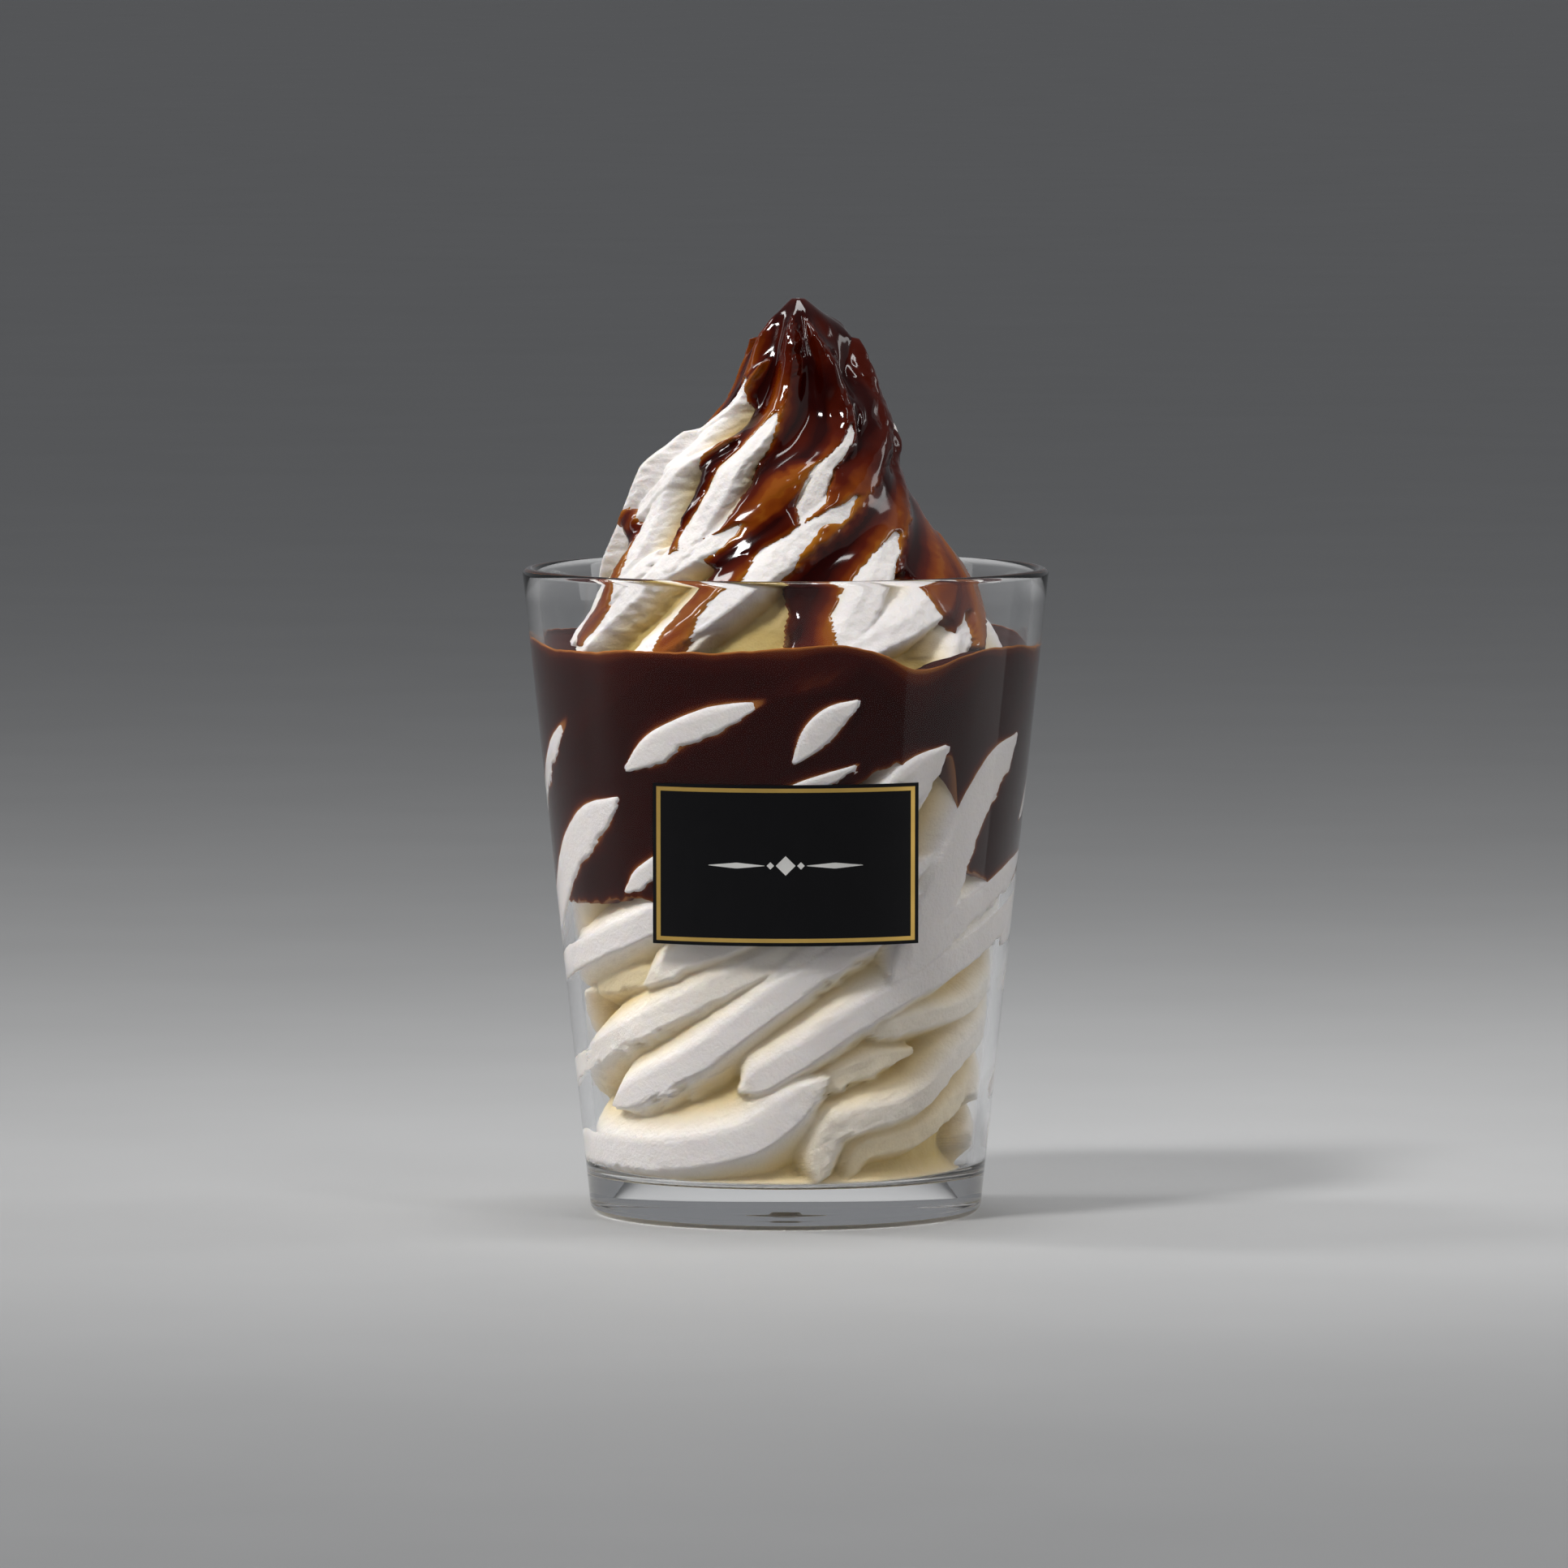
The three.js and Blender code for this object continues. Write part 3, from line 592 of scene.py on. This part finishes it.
def wall_sauce(columns=520, rows=96, pool_rows=16):
    columns, rows = int(columns * DETAIL), int(rows * DETAIL)
    around = np.repeat((360 * np.arange(columns) / columns - 180)[None], rows, 0)
    a = np.radians(around)
    flow = np.stack([np.sin(a), np.cos(a), np.zeros_like(a)], -1) * 35
    low = smooth_through(SAUCE_EDGE, around) + 1.4 * crag(flow, 6) + 0.5 * crag(flow, 1.5)
    high = sauce_top(around) + 0.25 * crag(flow + 70, 5)
    share = np.linspace(0, 1, rows)[:, None]
    z = low + (high - low) * share
    wall = inner_radius(z) + 0.1 * IN_WALL
    gap = wall - sample_field(body_field, around, z)
    thin_top = (0.55 + 0.6 * crag(flow + 30, 9, 1)) * (high - z) + 0.02
    thickness = np.minimum(np.minimum(gap, 1.2 * (z - low) + 0.02), np.maximum(thin_top, 0.02))
    outer = np.stack([wall * np.sin(a), -wall * np.cos(a), z], -1)
    # The pool's surface: it clings to the wall and dips away from it.
    inward = np.linspace(0, 1, pool_rows)[1:, None] ** 1.5 * POOL_REACH
    pool_z = high[:1] - 0.9 * (1 - np.exp(-inward / 0.8)) + 0.15 * np.sin(5 * a[:1] + inward)
    pool_r = wall[-1:] - inward
    pool = np.stack([pool_r * np.sin(a[:1]), -pool_r * np.cos(a[:1]), pool_z], -1)
    deep_r = wall[:1] - SAUCE_REACH
    deep = [np.stack([deep_r * np.sin(a[:1]), -deep_r * np.cos(a[:1]), depth], -1)
            for depth in (0.5 * (low[:1] + high[:1]), low[:1])]
    points = np.concatenate([outer, pool] + deep)
    values = np.concatenate([thickness, np.full((len(points) - rows, columns), 1.2)])
    faces = ring_faces(len(points), columns, closed_rows=True).tolist()
    return mesh_piece("wall_sauce", points.reshape(-1, 3), faces,
                      {"thickness": np.clip(values, 0, 5).ravel()})


band = wall_sauce()
print("wall sauce faces:", len(band.data.polygons))

# %% [markdown]
# ## Geometry Nodes helpers
# What is spun or bent by a rule is made by small node trees: the cup, and the plates of
# the label. Each tree is built here with named inputs. A
# modifier's inputs are set by their identifiers, and the evaluated result becomes a plain
# mesh, so nothing procedural is left on the piece.

# %% Node tree helpers
def new_tree(name, **inputs):
    """A geometry tree with a group input of these names and socket kinds."""
    tree = bpy.data.node_groups.new(name, "GeometryNodeTree")
    for label, kind in inputs.items():
        tree.interface.new_socket(label, in_out="INPUT", socket_type="NodeSocket" + kind)
    tree.interface.new_socket("Geometry", in_out="OUTPUT", socket_type="NodeSocketGeometry")
    return tree, tree.nodes.new("NodeGroupInput").outputs, tree.nodes.new("NodeGroupOutput").inputs


def add(tree, kind, settings=None, **inputs):
    """Adds a node. A value that is a socket is linked, and any other is set."""
    node = tree.nodes.new(kind)
    for label, value in (settings or {}).items():
        setattr(node, label, value)
    for label, value in inputs.items():
        socket = node.inputs[int(label[1:])] if label[0] == "_" else node.inputs[label.replace("_", " ")]
        if isinstance(value, bpy.types.NodeSocket):
            tree.links.new(value, socket)
        else:
            socket.default_value = value
    return node


def maths(tree, operation, a, b=0.0):
    return add(tree, "ShaderNodeMath", {"operation": operation}, _0=a, _1=b).outputs[0]


def from_tree(name, tree, **values):
    """Runs a tree with these inputs on an empty object and keeps the result as a mesh."""
    carrier = bpy.data.objects.new(name + "_carrier", bpy.data.meshes.new(name + "_carrier"))
    bpy.context.collection.objects.link(carrier)
    modifier = carrier.modifiers.new(name, "NODES")
    modifier.node_group = tree
    for item in tree.interface.items_tree:
        if item.in_out == "INPUT" and item.name in values:
            modifier[item.identifier] = values[item.name]
    evaluated = carrier.evaluated_get(bpy.context.evaluated_depsgraph_get())
    mesh = bpy.data.meshes.new_from_object(evaluated)
    mesh.name = name
    bpy.data.objects.remove(carrier)
    piece = bpy.data.objects.new(name, mesh)
    bpy.context.collection.objects.link(piece)
    return piece


def join_pieces(name, pieces):
    """Joins pieces of one finish into one mesh."""
    with bpy.context.temp_override(active_object=pieces[0], selected_editable_objects=pieces):
        bpy.ops.object.join()
    pieces[0].name = pieces[0].data.name = name
    return pieces[0]


# %% [markdown]
# ## The cup
# A tumbler is a turned shape: one profile, spun round its axis. It could be a screw
# modifier or a lathe in code. Here a tree bends a grid: each row takes its radius and
# height from one point of the profile, and each column takes its share of the full turn.
# Merging by distance then closes the seam and both middles.

# %% Spin tree
def spin_tree():
    tree, inputs, out = new_tree("spin_profile", Profile="Object", Points="Int", Sides="Int",
                                 Finish="Material")
    profile = add(tree, "GeometryNodeObjectInfo", Object=inputs["Profile"])
    columns = maths(tree, "ADD", inputs["Sides"], 1.0)
    grid = add(tree, "GeometryNodeMeshGrid", Vertices_X=columns, Vertices_Y=inputs["Points"])
    index = add(tree, "GeometryNodeInputIndex").outputs[0]
    row = maths(tree, "MODULO", index, inputs["Points"])
    column = maths(tree, "FLOOR", maths(tree, "DIVIDE", maths(tree, "ADD", index, 0.5),
                                        inputs["Points"]))
    place = add(tree, "GeometryNodeSampleIndex", {"data_type": "FLOAT_VECTOR", "domain": "POINT"},
                Geometry=profile.outputs["Geometry"], Index=row,
                Value=add(tree, "GeometryNodeInputPosition").outputs[0])
    split = add(tree, "ShaderNodeSeparateXYZ", Vector=place.outputs[0])
    turn = maths(tree, "DIVIDE", maths(tree, "MULTIPLY", column, 2 * math.pi), inputs["Sides"])
    x = maths(tree, "MULTIPLY", split.outputs["X"], maths(tree, "SINE", turn))
    y = maths(tree, "MULTIPLY", split.outputs["X"],
              maths(tree, "MULTIPLY", maths(tree, "COSINE", turn), -1.0))
    spun = add(tree, "ShaderNodeCombineXYZ", X=x, Y=y, Z=split.outputs["Z"])
    placed = add(tree, "GeometryNodeSetPosition", Geometry=grid.outputs["Mesh"],
                 Position=spun.outputs[0])
    merged = add(tree, "GeometryNodeMergeByDistance", Geometry=placed.outputs[0], Distance=1e-6)
    smooth = add(tree, "GeometryNodeSetShadeSmooth", Geometry=merged.outputs[0])
    real = add(tree, "GeometryNodeRealizeInstances", Geometry=smooth.outputs[0])
    finish = add(tree, "GeometryNodeSetMaterial", Geometry=real.outputs[0],
                 Material=inputs["Finish"])
    tree.links.new(finish.outputs[0], out[0])
    return tree


# %% Cup profile
def arc(centre_r, centre_z, radius, start, end, steps):
    turn = np.radians(np.linspace(start, end, steps + 1))
    return [(centre_r + radius * math.cos(a), centre_z + radius * math.sin(a)) for a in turn]


def straight(start, end, steps):
    return [tuple(np.array(start) + (np.array(end) - start) * i / steps) for i in range(1, steps)]


def cup_profile():
    """From the middle of the base, out, up the wall, over the lip and down inside."""
    lip = WALL / 2
    lip_z = CUP_HEIGHT - lip
    heel = arc(outer_radius(HEEL) - HEEL, HEEL, HEEL, -90, 0, 10)
    rim = arc(outer_radius(lip_z) - lip, lip_z, lip, 0, 180, 14)
    corner = arc(inner_radius(FLOOR + CORNER) - CORNER, FLOOR + CORNER, CORNER, 0, -90, 12)
    gate = [(0, RECESS + 0.5), (1.6, RECESS + 0.5), (2.0, RECESS + 0.1)]
    ring = [(FOOT_INNER - 2.2, RECESS), (FOOT_INNER - 1.2, RECESS - 0.15), (FOOT_INNER - 0.3, 0.1),
            (FOOT_INNER, 0)]
    floor = [(20.0, FLOOR - 0.02), (8.0, FLOOR - 0.05), (0, FLOOR - 0.05)]
    return (gate + straight(gate[-1], ring[0], 4) + ring + heel
            + straight(heel[-1], rim[0], 24) + rim + straight(rim[-1], corner[0], 24)
            + corner + floor)


def profile_object(points):
    mesh = bpy.data.meshes.new("cup_profile")
    mesh.from_pydata([(r * MM, 0, height * MM) for r, height in points],
                     [(i, i + 1) for i in range(len(points) - 1)], [])
    piece = bpy.data.objects.new("cup_profile", mesh)
    bpy.context.collection.objects.link(piece)
    return piece


# %% [markdown]
# ## Finishes
# Each finish reads values that the meshes carry: how deep a crease lies or how thick the
# sauce is. That keeps colour tied to shape from every side. Part of that colour is painted
# shade: the vanilla's darker creases and the poured sauce's darker right flank and tip.

# %% Material helpers
def new_finish(name):
    material = bpy.data.materials.new(name)
    material.use_nodes = True
    nodes = material.node_tree.nodes
    return material, nodes, material.node_tree.links, nodes["Principled BSDF"]


def ramp(nodes, links, source, stops):
    """A colour ramp from (place, colour) pairs."""
    node = nodes.new("ShaderNodeValToRGB")
    points = node.color_ramp.elements
    while len(points) < len(stops):
        points.new(0.5)
    for point, (place, colour) in zip(points, stops):
        point.position = place
        point.color = (*colour, 1)
    links.new(source, node.inputs[0])
    return node.outputs[0]


def carried(nodes, name):
    node = nodes.new("ShaderNodeAttribute")
    node.attribute_name = name
    return node.outputs["Fac"]


def scaled(nodes, links, source, factor, plus=0.0):
    node = nodes.new("ShaderNodeMath")
    node.operation = "MULTIPLY_ADD"
    node.inputs[1].default_value = factor
    node.inputs[2].default_value = plus
    links.new(source, node.inputs[0])
    return node.outputs[0]


def noise_node(nodes, links, size_mm, detail):
    """Noise on Object coordinates with features of the given size."""
    place = nodes.new("ShaderNodeTexCoord")
    node = nodes.new("ShaderNodeTexNoise")
    node.inputs["Scale"].default_value = 1 / (size_mm * MM)
    node.inputs["Detail"].default_value = detail
    links.new(place.outputs["Object"], node.inputs["Vector"])
    return node.outputs["Fac"]


def bump(nodes, links, source, depth_mm, target, strength, under=None):
    node = nodes.new("ShaderNodeBump")
    node.inputs["Distance"].default_value = depth_mm * MM
    node.inputs["Strength"].default_value = strength
    links.new(source, node.inputs["Height"])
    if under is not None:
        links.new(under, node.inputs["Normal"])
    if target is not None:
        links.new(node.outputs[0], target)
    return node.outputs[0]


# %% Vanilla
def vanilla_finish():
    """Off-white crests, creamier in the creases and darkened there with painted shade, with a fine icy
    bite.
    """
    material, nodes, links, shader = new_finish("vanilla")
    # Deeper creases go darker and more golden: painted shade, with some creamier tone.
    colour = ramp(nodes, links, carried(nodes, "depth"), [
        (0.0, (0.87, 0.82, 0.79)), (0.18, (0.84, 0.75, 0.61)),
        (0.42, (0.77, 0.62, 0.36)), (0.80, (0.64, 0.46, 0.14))])
    links.new(colour, shader.inputs["Base Color"])
    shader.inputs["Roughness"].default_value = 0.55
    shader.inputs["Subsurface Weight"].default_value = 0.22
    shader.inputs["Subsurface Radius"].default_value = (1.0, 0.75, 0.45)
    shader.inputs["Subsurface Scale"].default_value = 1.6 * MM
    shader.inputs["Specular IOR Level"].default_value = 0.35
    fine = bump(nodes, links, noise_node(nodes, links, 0.45, 4), 0.16, None, 0.6)
    bump(nodes, links, noise_node(nodes, links, 1.6, 3), 0.25, shader.inputs["Normal"], 0.6, fine)
    return material


# %% Sauce
def sauce_finish(name, stops, gloss, shine, coat):
    """Chocolate syrup: amber where thin, nearly black where thick or given painted shade, wet where it
    meets air.
    """
    material, nodes, links, shader = new_finish(name)
    # On the poured sauce this value includes painted shade on the right flank and tip.
    thick = scaled(nodes, links, carried(nodes, "thickness"), 1 / 3)
    links.new(ramp(nodes, links, thick, stops), shader.inputs["Base Color"])
    shader.inputs["Roughness"].default_value = gloss
    shader.inputs["Specular IOR Level"].default_value = shine
    shader.inputs["Coat Weight"].default_value = coat
    shader.inputs["Coat Roughness"].default_value = 0.04
    bump(nodes, links, noise_node(nodes, links, 6, 0), 0.10, shader.inputs["Normal"], 0.2)
    return material


# %% Clear plastic
def clear_finish():
    material, nodes, links, shader = new_finish("clear_plastic")
    tint = ramp(nodes, links, noise_node(nodes, links, 30, 1), [
        (0.3, (0.965, 0.975, 0.985)), (0.7, (0.985, 0.985, 0.99))])
    links.new(tint, shader.inputs["Base Color"])
    shader.inputs["Roughness"].default_value = 0.0
    shader.inputs["IOR"].default_value = 1.33
    shader.inputs["Transmission Weight"].default_value = 1.0
    return material


# %% Label finishes
def plain_finish(name, colour, roughness, metal=0.0, mottle=0.06, grain_mm=0.3, depth_mm=0.01):
    """A printed or foiled surface with a little unevenness."""
    material, nodes, links, shader = new_finish(name)
    low = [c * (1 - mottle) for c in colour]
    high = [min(1, c * (1 + mottle)) for c in colour]
    uneven = ramp(nodes, links, noise_node(nodes, links, 4, 3), [(0.3, low), (0.7, high)])
    links.new(uneven, shader.inputs["Base Color"])
    shader.inputs["Roughness"].default_value = roughness
    shader.inputs["Metallic"].default_value = metal
    shader.inputs["Specular IOR Level"].default_value = 0.5 if metal else 0.12
    bump(nodes, links, noise_node(nodes, links, grain_mm, 2), depth_mm, shader.inputs["Normal"], 0.4)
    return material


vanilla = vanilla_finish()
poured_finish = sauce_finish("poured_chocolate", [
    (0.0, (0.40, 0.16, 0.012)), (0.14, (0.19, 0.036, 0.002)), (0.34, (0.075, 0.006, 0.0006)),
    (0.80, (0.020, 0.0008, 0.0003))], 0.08, 0.3, 0.0)
wall_finish = sauce_finish("wall_chocolate", [
    (0.0, (0.34, 0.13, 0.03)), (0.10, (0.09, 0.015, 0.004)), (0.30, (0.030, 0.0025, 0.0015)),
    (0.8, (0.020, 0.0015, 0.001))], 0.3, 0.0, 0.0)
clear = clear_finish()
black = plain_finish("black_label_stock", (0.006, 0.006, 0.007), 0.38)
gold = plain_finish("gold_foil", (0.80, 0.52, 0.14), 0.28, metal=1.0)
white = plain_finish("white_print", (0.82, 0.81, 0.78), 0.5)
print("finishes:", [m.name for m in bpy.data.materials])

# %% Spin the cup
points = cup_profile()
profile = profile_object(points)
cup = from_tree("clear_cup", spin_tree(), Profile=profile, Points=len(points), Sides=192, Finish=clear)
bpy.data.objects.remove(profile)
print("cup faces:", len(cup.data.polygons))

# %% [markdown]
# ## The label
# The label is a black rectangle with a thin gold line inside its edge, bent round the
# wall. Plate, gold bars and the small ornament in its middle are all the same thing at
# different sizes, a thin block bent round the cone, so one tree makes them all.

# %% Bent plate tree
def bent_plate_tree():
    tree, inputs, out = new_tree(
        "bent_plate", Centre="Vector", Size="Vector", Turn="Float", Taper="Float", Lift="Float",
        Columns="Int", Rows="Int", Finish="Material")
    block = add(tree, "GeometryNodeMeshCube", Size=inputs["Size"], Vertices_X=inputs["Columns"],
                Vertices_Y=2, Vertices_Z=inputs["Rows"])
    start = add(tree, "ShaderNodeSeparateXYZ",
                Vector=add(tree, "GeometryNodeInputPosition").outputs[0])
    size = add(tree, "ShaderNodeSeparateXYZ", Vector=inputs["Size"])
    share = maths(tree, "DIVIDE", maths(tree, "ABSOLUTE", start.outputs["X"]),
                  maths(tree, "MULTIPLY", size.outputs["X"], 0.5))
    keep = maths(tree, "SUBTRACT", 1.0, maths(tree, "MULTIPLY", share, inputs["Taper"]))
    thinned = add(tree, "ShaderNodeCombineXYZ", X=start.outputs["X"], Y=start.outputs["Y"],
                  Z=maths(tree, "MULTIPLY", start.outputs["Z"], keep))
    tapered = add(tree, "GeometryNodeSetPosition", Geometry=block.outputs["Mesh"],
                  Position=thinned.outputs[0])
    turned = add(tree, "GeometryNodeTransform", Geometry=tapered.outputs[0],
                 Rotation=add(tree, "ShaderNodeCombineXYZ", Y=inputs["Turn"]).outputs[0])
    moved = add(tree, "GeometryNodeTransform", Geometry=turned.outputs[0],
                Translation=inputs["Centre"])
    flat = add(tree, "ShaderNodeSeparateXYZ",
               Vector=add(tree, "GeometryNodeInputPosition").outputs[0])
    # The cone's radius at this height, plus the lift, plus the block's own thickness.
    rate = (RIM_RADIUS - BASE_RADIUS) / CUP_HEIGHT
    cone = maths(tree, "MULTIPLY_ADD", flat.outputs["Z"], rate)
    cone.node.inputs[2].default_value = BASE_RADIUS * MM
    radius = maths(tree, "SUBTRACT", maths(tree, "ADD", cone, inputs["Lift"]), flat.outputs["Y"])
    turn = maths(tree, "ARCSINE", maths(tree, "DIVIDE", flat.outputs["X"], radius))
    x = maths(tree, "MULTIPLY", radius, maths(tree, "SINE", turn))
    y = maths(tree, "MULTIPLY", radius, maths(tree, "MULTIPLY", maths(tree, "COSINE", turn), -1.0))
    bent = add(tree, "ShaderNodeCombineXYZ", X=x, Y=y, Z=flat.outputs["Z"])
    placed = add(tree, "GeometryNodeSetPosition", Geometry=moved.outputs[0],
                 Position=bent.outputs[0])
    real = add(tree, "GeometryNodeRealizeInstances", Geometry=placed.outputs[0])
    finish = add(tree, "GeometryNodeSetMaterial", Geometry=real.outputs[0],
                 Material=inputs["Finish"])
    tree.links.new(finish.outputs[0], out[0])
    return tree


plate_tree = bent_plate_tree()


def bent_plate(name, centre, size, finish, lift, thickness, turn=0.0, taper=0.0, columns=24, rows=6):
    """A thin block at (across, up) mm from the label's middle, of (across, up) mm."""
    return from_tree(
        name, plate_tree, Centre=(centre[0] * MM, 0, centre[1] * MM),
        Size=(size[0] * MM, thickness * MM, size[1] * MM), Turn=math.radians(turn), Taper=taper,
        Lift=(lift + thickness / 2) * MM, Columns=columns, Rows=rows, Finish=finish)


# %% Label, gold line and ornament
label_low, label_high = (np.array(corner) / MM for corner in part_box("label"))
LABEL_WIDE = float(label_high[0] - label_low[0])
LABEL_TALL = float(label_high[2] - label_low[2])
LABEL_MID = float(label_high[2] + label_low[2]) / 2
LINE = 0.62
LINE_INSET = 0.85
PLATE = 0.16

plate = bent_plate("label_plate", (0, LABEL_MID), (LABEL_WIDE, LABEL_TALL), black, 0.01, PLATE,
                   columns=64, rows=8)
half_w, half_t = LABEL_WIDE / 2 - LINE_INSET, LABEL_TALL / 2 - LINE_INSET
bars = [
    bent_plate("gold", (0, LABEL_MID + side * half_t), (2 * half_w + LINE, LINE), gold,
               PLATE, 0.05, columns=64, rows=2) for side in (-1, 1)]
bars += [
    bent_plate("gold", (side * half_w, LABEL_MID), (LINE, 2 * half_t - LINE), gold,
               PLATE, 0.05, columns=2, rows=12) for side in (-1, 1)]
gold_line = join_pieces("gold_line", bars)
strokes = [bent_plate("ornament", (side * 7.4, LABEL_MID), (8.4, 0.9), white, PLATE, 0.04,
                      taper=0.92, columns=24, rows=3) for side in (-1, 1)]
strokes += [bent_plate("ornament", (side * 2.3, LABEL_MID), (0.8, 0.8), white, PLATE, 0.04,
                       turn=45, columns=4, rows=3) for side in (-1, 1)]
strokes.append(bent_plate("ornament", (0, LABEL_MID), (2.1, 2.1), white, PLATE, 0.04,
                          turn=45, columns=6, rows=6))
ornament = join_pieces("label_ornament", strokes)
print("label", round(LABEL_WIDE, 1), "x", round(LABEL_TALL, 1), "mm")

# %% [markdown]
# ## Dress the pieces
# Every piece gets its finish and rides on the one body, and the solid that it stands for
# is hidden. The lamps shine through the cup without a shadow, as they do through thin clear
# plastic.

# %% Finishes, body and replaced solids
DRESS = [
    (ice_body, vanilla, "ice_cream", "vanilla"), (ice_peak, vanilla, "ice_cream", "vanilla"),
    (poured, poured_finish, "ice_cream", "chocolate_sauce"),
    (band, wall_finish, "sauce_band", "chocolate_sauce"),
    (cup, clear, "cup", "clear_plastic"), (plate, black, "label", "black_label"),
    (gold_line, gold, "label", "black_label"), (ornament, white, "label", "black_label"),
]
for piece, finish, node, slot in DRESS:
    piece.data.materials.clear()
    piece.data.materials.append(finish)
    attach(piece, "root")
    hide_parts(node)
cup.visible_shadow = False
print(len(DRESS), "pieces")

# %% [markdown]
# ## Floor, lights and camera
# The object stands on a plain pale floor that runs past the horizon of the view. The key
# light comes from high on the left, with a narrow beam that favours the peak, so the
# swirl isn't washed out low in the cup. Strips behind and beside it on the left draw the
# cup's edge, one overhead fills the creases, and a strip, a softbox and a dim panel on the
# right give the sauce its highlights and the cup its pale flank. No lamp is seen through
# the cup: its light already reaches the food without a shadow.

# %% Floor
def floor_finish():
    material, nodes, links, shader = new_finish("pale_floor")
    links.new(ramp(nodes, links, noise_node(nodes, links, 60, 3), [
        (0.3, (0.49, 0.49, 0.488)), (0.7, (0.51, 0.51, 0.508))]), shader.inputs["Base Color"])
    shader.inputs["Roughness"].default_value = 0.6
    return material


bpy.ops.mesh.primitive_circle_add(radius=60, fill_type="NGON", vertices=96, location=(0, 0, 0))
floor = bpy.context.object
floor.name = "floor"
floor.data.materials.append(floor_finish())


# %% Lights
def softbox(name, place, aim, size, watts, spread=180):
    lamp = bpy.data.lights.new(name, "AREA")
    lamp.shape = "RECTANGLE"
    lamp.size, lamp.size_y = size
    lamp.energy = watts
    lamp.spread = math.radians(spread)
    holder = bpy.data.objects.new(name, lamp)
    holder.location = place
    holder.rotation_euler = (Vector(aim) - Vector(place)).to_track_quat("-Z", "Y").to_euler()
    holder.visible_camera = False
    holder.visible_transmission = False
    bpy.context.collection.objects.link(holder)
    return holder


middle = (0, 0, 0.07)
peak = (0, 0, 0.12)
softbox("right_softbox", (0.72, 0.15, 0.34), middle, (0.12, 0.5), 0.8)
softbox("right_panel", (0.15, -0.035, 0.13), (-1, -0.035, 0.13), (0.165, 0.24), 0.04)
softbox("right_strip", (0.40, -0.50, 1.00), peak, (0.06, 0.35), 1.2)
softbox("top_softbox", (0.06, 0.10, 0.95), middle, (0.30, 0.24), 2.4)
softbox("left_strip", (-0.62, 0.05, 0.25), middle, (0.14, 0.7), 0.65)
softbox("left_back", (-0.6, 0.15, 0.75), peak, (0.12, 0.3), 2)
softbox("left_key", (-0.6, -0.7, 1.1), (0, 0, 0.16), (0.22, 0.22), 0.26, spread=26)


def studio_world():
    """Dim in front, where it would fog the cup's wall, and brighter above and behind."""
    world = bpy.data.worlds.new("studio")
    world.use_nodes = True
    nodes, links = world.node_tree.nodes, world.node_tree.links
    place = nodes.new("ShaderNodeTexCoord")
    split = nodes.new("ShaderNodeSeparateXYZ")
    links.new(place.outputs["Generated"], split.inputs[0])
    total = nodes.new("ShaderNodeMath")
    total.operation = "ADD"
    links.new(split.outputs["Y"], total.inputs[0])
    links.new(split.outputs["Z"], total.inputs[1])
    share = scaled(nodes, links, total.outputs[0], 0.5, 0.5)
    colour = ramp(nodes, links, share, [(0.0, (0.08, 0.08, 0.09)), (0.45, (0.12, 0.125, 0.135)),
                                        (1.0, (0.42, 0.43, 0.45))])
    links.new(colour, nodes["Background"].inputs["Color"])
    nodes["Background"].inputs["Strength"].default_value = 0.45
    return world


bpy.context.scene.world = studio_world()

# %% Camera
CAMERA_BACK = 2.2
CAMERA_UP = 0.2218
PITCH = 4.06
FIELD = 6.21
camera = bpy.data.cameras.new("camera")
camera.sensor_width = 36
camera.lens = 18 / math.tan(math.radians(FIELD / 2))
viewer = bpy.data.objects.new("camera", camera)
viewer.location = (-0.00025, -CAMERA_BACK, CAMERA_UP)
viewer.rotation_euler = (math.radians(90 - PITCH), 0, 0)
bpy.context.collection.objects.link(viewer)
bpy.context.scene.camera = viewer
bpy.context.scene.view_settings.view_transform = "Standard"
